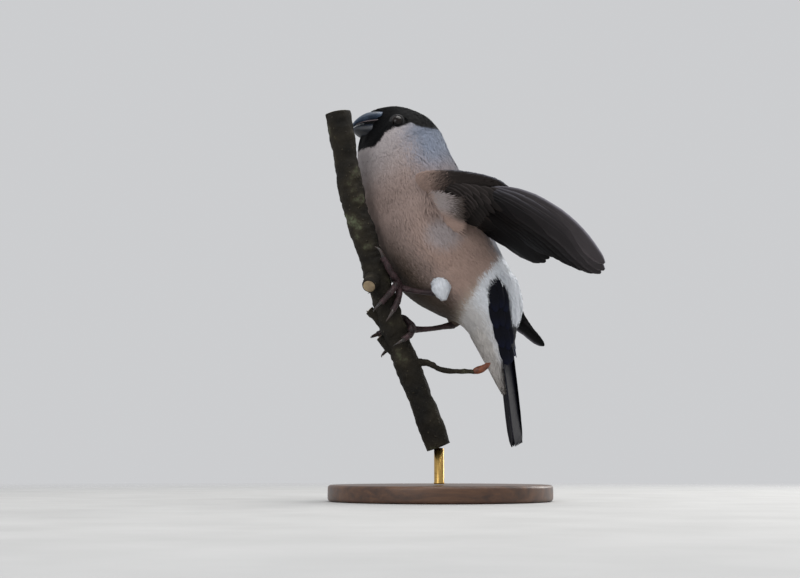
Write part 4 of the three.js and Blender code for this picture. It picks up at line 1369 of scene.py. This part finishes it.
# %% Bark and bare wood
bark, place, shader = finish("bark", Specular_IOR_Level=0.3)
fine = place.noise(900.0, 6.0)
broad = place.noise(110.0, 5.0)
pores = place.node("ShaderNodeTexVoronoi", {}, {"Vector": place, "Scale": 520.0})
dots = 1 - pores.spread(0.08, 0.24)
brown = broad.ramp((0.3, srgb(18, 16, 12)), (0.55, srgb(36, 32, 24)), (0.75, srgb(64, 59, 46)))
colour = brown.tint((*srgb(104, 96, 78), 1), dots * fine.spread(0.45, 0.6) * 0.4)
colour = colour.tint((*srgb(92, 100, 78), 1), broad.spread(0.6, 0.74) * fine.spread(0.4, 0.6))
colour.into(shader.inputs["Base Color"])
(0.7 + fine * 0.3).into(shader.inputs["Roughness"])
bumps(shader, fine * 0.5 + dots * 0.5 + broad, 0.6, 0.9)

cut_wood = horn_finish("cut_wood", srgb(112, 96, 76), srgb(160, 142, 112), 0.8, 300)
bud_scale = horn_finish("bud_scale", srgb(84, 44, 28), srgb(142, 80, 48), 0.55, 500)
print("bark, cut wood and bud finishes ready")

# %% [markdown]
# Stem, cut stub and side twigs are fine tubes through hand-set points. Their rings swell and
# shrink a little at random, smoothed over their neighbours, so no twig looks like a pipe.

# %% Stem
STEM_FOOT = 20
STEM_RADIUS = 4.6
STEM_LINE = [[-38.2, -18.7, 144.0], [-35.2, -17.0, 126.3], [-32.5, -16.0, 111.3],
             [-29.2, -15.0, 100.1], [-25.4, -14.0, 88.9], [-22.3, -13.0, 78.9],
             [-17.2, -11.6, 62.6], [-13.1, -10.7, 51.9], [-7.2, -9.5, 37.1],
             [-0.6, -8.2, STEM_FOOT]]
# Each twig: its line, radii, number of rings and sides, and how uneven it is.
TWIGS = [
    (STEM_LINE, [STEM_RADIUS + 0.35 * math.sin(2.3 * i) for i in range(19)], 260, 44, 0.5),
    ([[-24.0, -14, 82.5], [-25.4, -18.2, 80.4], [-26.3, -21.6, 77.9]], [3.2, 2.9, 2.6],
     40, 32, 0.4),
    ([[-18.6, -11.6, 62], [-23.2, -12.2, 67.4], [-26.4, -12.4, 70.2]], [2.4, 1.9, 1.7],
     30, 24, 0.3),
    ([[-13.5, -11, 52.5], [-18.7, -11.4, 56.0], [-22.6, -11.6, 60.2]], [2.2, 1.7, 1.4],
     30, 24, 0.3),
    ([[-11.6, -11, 50], [-5.4, -12.2, 50.8], [0.8, -14, 47.9], [12.4, -15, 47.2]],
     [2.4, 1.2, 0.95, 0.85], 60, 24, 0.35),
]


def rough_tube(heap, points, radii, steps, sides, roughness):
    """A twig: a tube whose rings swell and shrink a little, as bark does."""
    t = np.linspace(0, 1, steps)
    line = along_curve(points, t)
    base = evenly(radii, t)
    rings = swept_tube(line, base, sides)
    swell = random.normal(0, 1, (steps, sides))
    for _ in range(3):
        swell = (swell + np.roll(swell, 1, 1) + np.roll(swell, -1, 1)
                 + np.roll(swell, 1, 0) + np.roll(swell, -1, 0)) / 5
    rings = rings + (rings - line[:, None]) / base[:, None, None] * swell[..., None] * roughness
    heap.add_rings(rings)


stem = Heap()
for twig in TWIGS:
    rough_tube(stem, *twig)
stem.piece("stem_bark", bark, replaces=("perch",))

# %% [markdown]
# Every cut end shows bare wood in a low dome. The bud is five scales, one inside the other, that
# sway to either side in turn and swell in their middle.

# %% Cut ends and bud
# Each cut: the middle of its end, a point before it on the twig, and its radius.
CUTS = [
    ([-26.3, -21.6, 77.9], [-25.8, -19.8, 79.2], 2.3),
    ([-38.2, -18.7, 144.0], [-37.2, -18.2, 138.0], 4.1),
    ([-26.4, -12.4, 70.2], [-25.0, -12.3, 69.0], 1.45),
    ([-22.6, -11.6, 60.2], [-21.2, -11.5, 58.6], 1.2),
]
CUT_SIDES = 32
BUD_LINE = [[11.8, -15, 47.2], [15.0, -15.5, 48.2], [18.2, -16, 50.4]]
BUD_SCALES = 5
BUD_RINGS = 14
BUD_SIDES = 16

cuts = Heap()
for end, before, radius in CUTS:
    ahead = unit(vec(end) - vec(before))
    line = [end - ahead * 0.3, end + ahead * 0.12, end + ahead * 0.2]
    cuts.add_tube(line, vec([1, 0.97, 0.6]) * radius, CUT_SIDES)
cuts.piece("cut_ends", cut_wood)

bud = Heap()
t = np.linspace(0, 1, BUD_RINGS)
for layer in range(BUD_SCALES):
    start = 0.16 * layer
    line = along_curve(BUD_LINE, start + (1 - start) * t)
    sway = 0.35 * (0.5 - layer % 2) * np.sin(np.pi * t)[:, None] * vec([0, 1, 0.4])
    girth = (1.4 - 0.1 * layer) * np.sin(np.pi * (0.16 + 0.82 * t ** 0.8))
    bud.add_tube(line + sway, girth, BUD_SIDES)
bud.piece("bud", bud_scale)

# %% [markdown]
# Passerine feet have three toes forward and one back, each with swollen joints and a long curved
# claw. They wrap the stem, so every toe is a path of heights and angles round the stem's line.

# %% Paths of the toes
TOE_RADIUS = 1.15
GAP = 0.35
GRIP = STEM_RADIUS + 0.35 + TOE_RADIUS + GAP
# Each leg: its ankle, the place of its foot, and its toes as heights and angles on the stem.
LEGS = {
    "left": ([-0.9, -16.6, 76.2], [-15.6, -12.6, 78.8], {
        "toe_up": [[79, 8], [82.5, 34], [88.5, 52]],
        "toe_middle": [[79, 8], [76.6, 48], [73.2, 102]],
        "toe_low": [[78, 6], [73.0, 36], [69.4, 74]],
        "toe_back": [[79, 4], [80.4, -42], [79.2, -96]],
    }),
    "right": ([4.3, 5.0, 66.6], [-10.6, -6.8, 63.6], {
        "toe_up": [[63.6, -8], [67.0, -62], [70.4, -128]],
        "toe_middle": [[63.6, -10], [64.4, -72], [63.4, -158]],
        "toe_low": [[63, -8], [60.4, -66], [57.4, -132]],
        "toe_back": [[63, -2], [59.6, 30], [58.6, 72]],
    }),
}


def on_stem(height, degrees, distance):
    """A place round the stem: 0 degrees is its right side and 90 its near side."""
    t = np.linspace(0, 1, 2001)
    line = along_curve(STEM_LINE, t)
    i = int(np.argmin(np.abs(line[:, 2] - height)))
    axis = unit(line[max(i - 1, 0)] - line[i + 1])
    right = unit(vec([1, 0, 0]) - axis * axis[0])
    near = np.cross(right, axis)
    angle = math.radians(degrees)
    return line[i] + distance * (math.cos(angle) * right + math.sin(angle) * near)


def toe_path(steps):
    points = [on_stem(*steps[0], GRIP + 0.9)]
    for last, step in zip(steps, steps[1:]):
        points.append(on_stem((last[0] + step[0]) / 2, (last[1] + step[1]) / 2, GRIP + 0.15))
        points.append(on_stem(*step, GRIP))
    return vec(points)


print("a toe's middle lies this far from the stem's, mm:", round(GRIP, 2))

# %% [markdown]
# Legs and toes are tubes with low rings like overlapping plates, thicker at each joint. A claw
# leaves the last joint, bends round the stem and tapers to a point.

# %% Legs, feet and claws
TARSUS_RADIUS = 1.15
TARSUS_SWELL = (1.35, 0.9, 0.82, 0.95, 1.25)
TOE_SWELL = (1.3, 1.0, 1.18, 0.92, 1.1, 0.88, 0.95)
LEG_SIDES = 20
CLAW_LENGTH = 4.8
CLAW_RADIUS = 0.78
CLAW_RINGS = 24
CLAW_SIDES = 14


def scaled_tube(heap, line_points, radii, steps, scutes):
    """A toe or leg: scutes is how many low rings like overlapping plates it has."""
    t = np.linspace(0, 1, steps)
    line = along_curve(line_points, t)
    plates = 1 + 0.05 * ((t * scutes) % 1 - 0.5)
    heap.add_tube(line, evenly(radii, t) * plates, LEG_SIDES)


def add_claw(node, path, outward):
    """A claw at the end of a toe's path. outward points away from the stem there."""
    end = path[-1]
    ahead = unit(end - path[-2])
    # Each point of the hook: its share of the claw's length, and how far out it stands.
    hook = [end - ahead * 0.6 + outward * 0.1]
    for share, out in ((0.3, 0.9), (0.7, 0.6), (1.0, -0.6)):
        hook.append(end + ahead * CLAW_LENGTH * share + outward * out)
    t = np.linspace(0, 1, CLAW_RINGS)
    claw = Heap()
    claw.add_tube(along_curve(hook, t), CLAW_RADIUS * (1 - t) ** 0.8 + 0.04, CLAW_SIDES)
    claw.piece(node + "_horn", claw_horn, replaces=(node,))


for side, (ankle, foot, toes) in LEGS.items():
    ankle, foot = vec(ankle), vec(foot)
    middle = (ankle + foot) / 2 + (0, 0, -0.5)
    leg = Heap()
    scaled_tube(leg, [ankle + unit(ankle - foot) * 1.6, middle, foot],
                [TARSUS_RADIUS * swell for swell in TARSUS_SWELL], 90, 9)
    leg.piece(f"tarsus_{side}_skin", leg_skin, replaces=(f"tarsus_{side}",))
    heel = foot + unit(foot - middle) * 0.2
    toe_heap = Heap()
    scaled_tube(toe_heap, [heel - (1.6, 0.4, 0), heel, heel + (1.7, 0.3, 0.1)],
                [0.9, 1.9, 1.9, 0.8], 20, 3)
    for toe, steps in toes.items():
        path = toe_path(steps)
        path[0] = (path[0] + foot) / 2
        scaled_tube(toe_heap, path, [TOE_RADIUS * swell for swell in TOE_SWELL], 90, 13)
        outward = on_stem(*steps[-1], 1) - on_stem(*steps[-1], 0)
        add_claw(f"claw_{side}_{toe}", path, outward)
    toe_heap.piece(f"foot_{side}_skin", leg_skin, replaces=(f"foot_{side}",))

# %% [markdown]
# The stand is dark stained wood and brass. Wood grain is noise drawn out along one direction, and
# the brushed lines of the brass run round the rod.

# %% Wood and brass
base_wood, place, shader = finish("base_wood", Coat_Weight=0.3, Coat_Roughness=0.3)
along_grain = place.stretch(1, 9, 9)
grain = along_grain.noise(28.0, 6.0, 0.6)
fibres = along_grain.noise(160.0, 4.0)
wood = (grain * 0.75 + fibres * 0.25).ramp((0.3, srgb(44, 28, 20)), (0.5, srgb(78, 52, 35)),
                                           (0.7, srgb(104, 72, 48)))
wood.into(shader.inputs["Base Color"])
(0.4 + fibres * 0.25).into(shader.inputs["Roughness"])
bumps(shader, fibres, 0.06, 0.5)

rod_brass, place, shader = finish("rod_brass", Metallic=1.0)
lines = place.stretch(1, 1, 30).noise(300.0, 4.0)
brass = lines.ramp((0.3, srgb(160, 124, 66)), (0.7, srgb(206, 172, 104)))
brass.into(shader.inputs["Base Color"])
(0.22 + lines * 0.2).into(shader.inputs["Roughness"])
bumps(shader, lines, 0.02, 0.4)
print("wood and brass finishes ready")

# %% [markdown]
# The stand is plain on purpose: a turned disc with a soft edge, and a rod up into the cut end of
# the stem. Both are profiles of radius and height turned round an upright axis.

# %% Stand
BASE_RADIUS = 42
BASE_HEIGHT = 6
BASE_EDGE = 1.2
BASE_SIDES = 160
ROD_RADIUS = 2
ROD_SIDES = 48


def turned(name, profile, middle, sides, material, node):
    """A profile of radius and height turned round an upright axis."""
    rings = [[(r * math.cos(a) + middle[0], r * math.sin(a) + middle[1], z)
              for a in circle(sides)] for r, z in profile]
    heap = Heap()
    heap.add_rings(vec(rings))
    heap.piece(name, material, replaces=(node,))


edge_turn = np.linspace(0, math.pi / 2, 8)
flat_radius = BASE_RADIUS - BASE_EDGE
flat_height = BASE_HEIGHT - BASE_EDGE
profile = [(0.5, 0.0), (flat_radius, 0.0)]
profile += [(flat_radius + BASE_EDGE * math.sin(a), BASE_EDGE - BASE_EDGE * math.cos(a))
            for a in edge_turn]
profile += [(flat_radius + BASE_EDGE * math.cos(a), flat_height + BASE_EDGE * math.sin(a))
            for a in edge_turn]
profile += [(BASE_RADIUS - 6, BASE_HEIGHT), (0.5, BASE_HEIGHT)]
turned("base_disc", profile, (0, 0), BASE_SIDES, base_wood, "stand_base")
rod_low, rod_high = (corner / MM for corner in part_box("stand_rod"))
rod_profile = [(0.4, rod_low.z), (ROD_RADIUS, rod_low.z), (ROD_RADIUS, rod_low.z + 0.5),
               (ROD_RADIUS - 0.15, rod_low.z + 0.8), (ROD_RADIUS - 0.15, rod_high.z - 0.3),
               (0.4, rod_high.z)]
turned("brass_rod", rod_profile, STEM_LINE[-1][:2], ROD_SIDES, rod_brass,
       "stand_rod")

# %% [markdown]
# A wide pale floor catches the stand's soft shadow and fades out at its edge. It is scenery, not
# part of the model, and lies a hair below the stand.

# %% Floor
FLOOR_SIZE = 12.0
FLOOR_DROP = 0.0001

floor_finish, place, shader = finish("floor_finish", Roughness=0.75)
pale = place.noise(30.0, 4.0).ramp((0.3, (0.44, 0.44, 0.435)), (0.7, (0.50, 0.50, 0.495)))
pale.into(shader.inputs["Base Color"])
round_patch = place.node("ShaderNodeTexGradient", {"gradient_type": "SPHERICAL"},
                         {0: place.stretch(1.5, 1.5, 1.5)})
fade = place.node("ShaderNodeMapRange", {"interpolation_type": "SMOOTHSTEP"},
                  {0: round_patch, 1: 0.02, 2: 0.75})
fade.into(shader.inputs["Alpha"])
bpy.ops.mesh.primitive_plane_add(size=FLOOR_SIZE, location=(0, 0, -FLOOR_DROP))
floor = bpy.context.object
floor.name = "floor"
floor.data.materials.append(floor_finish)
floor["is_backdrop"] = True
print("floor metres across:", FLOOR_SIZE)

# %% [markdown]
# The two boxes are printed so that the dressed bird can be compared with the solid one.

# %% Sizes and finish
dressed_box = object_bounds()
for low, high, solid_low, solid_high, axis in zip(*dressed_box, *solid_box, "XYZ"):
    print(axis, "dressed past solids, mm:", round((solid_low - low) / MM, 2),
          round((high - solid_high) / MM, 2))
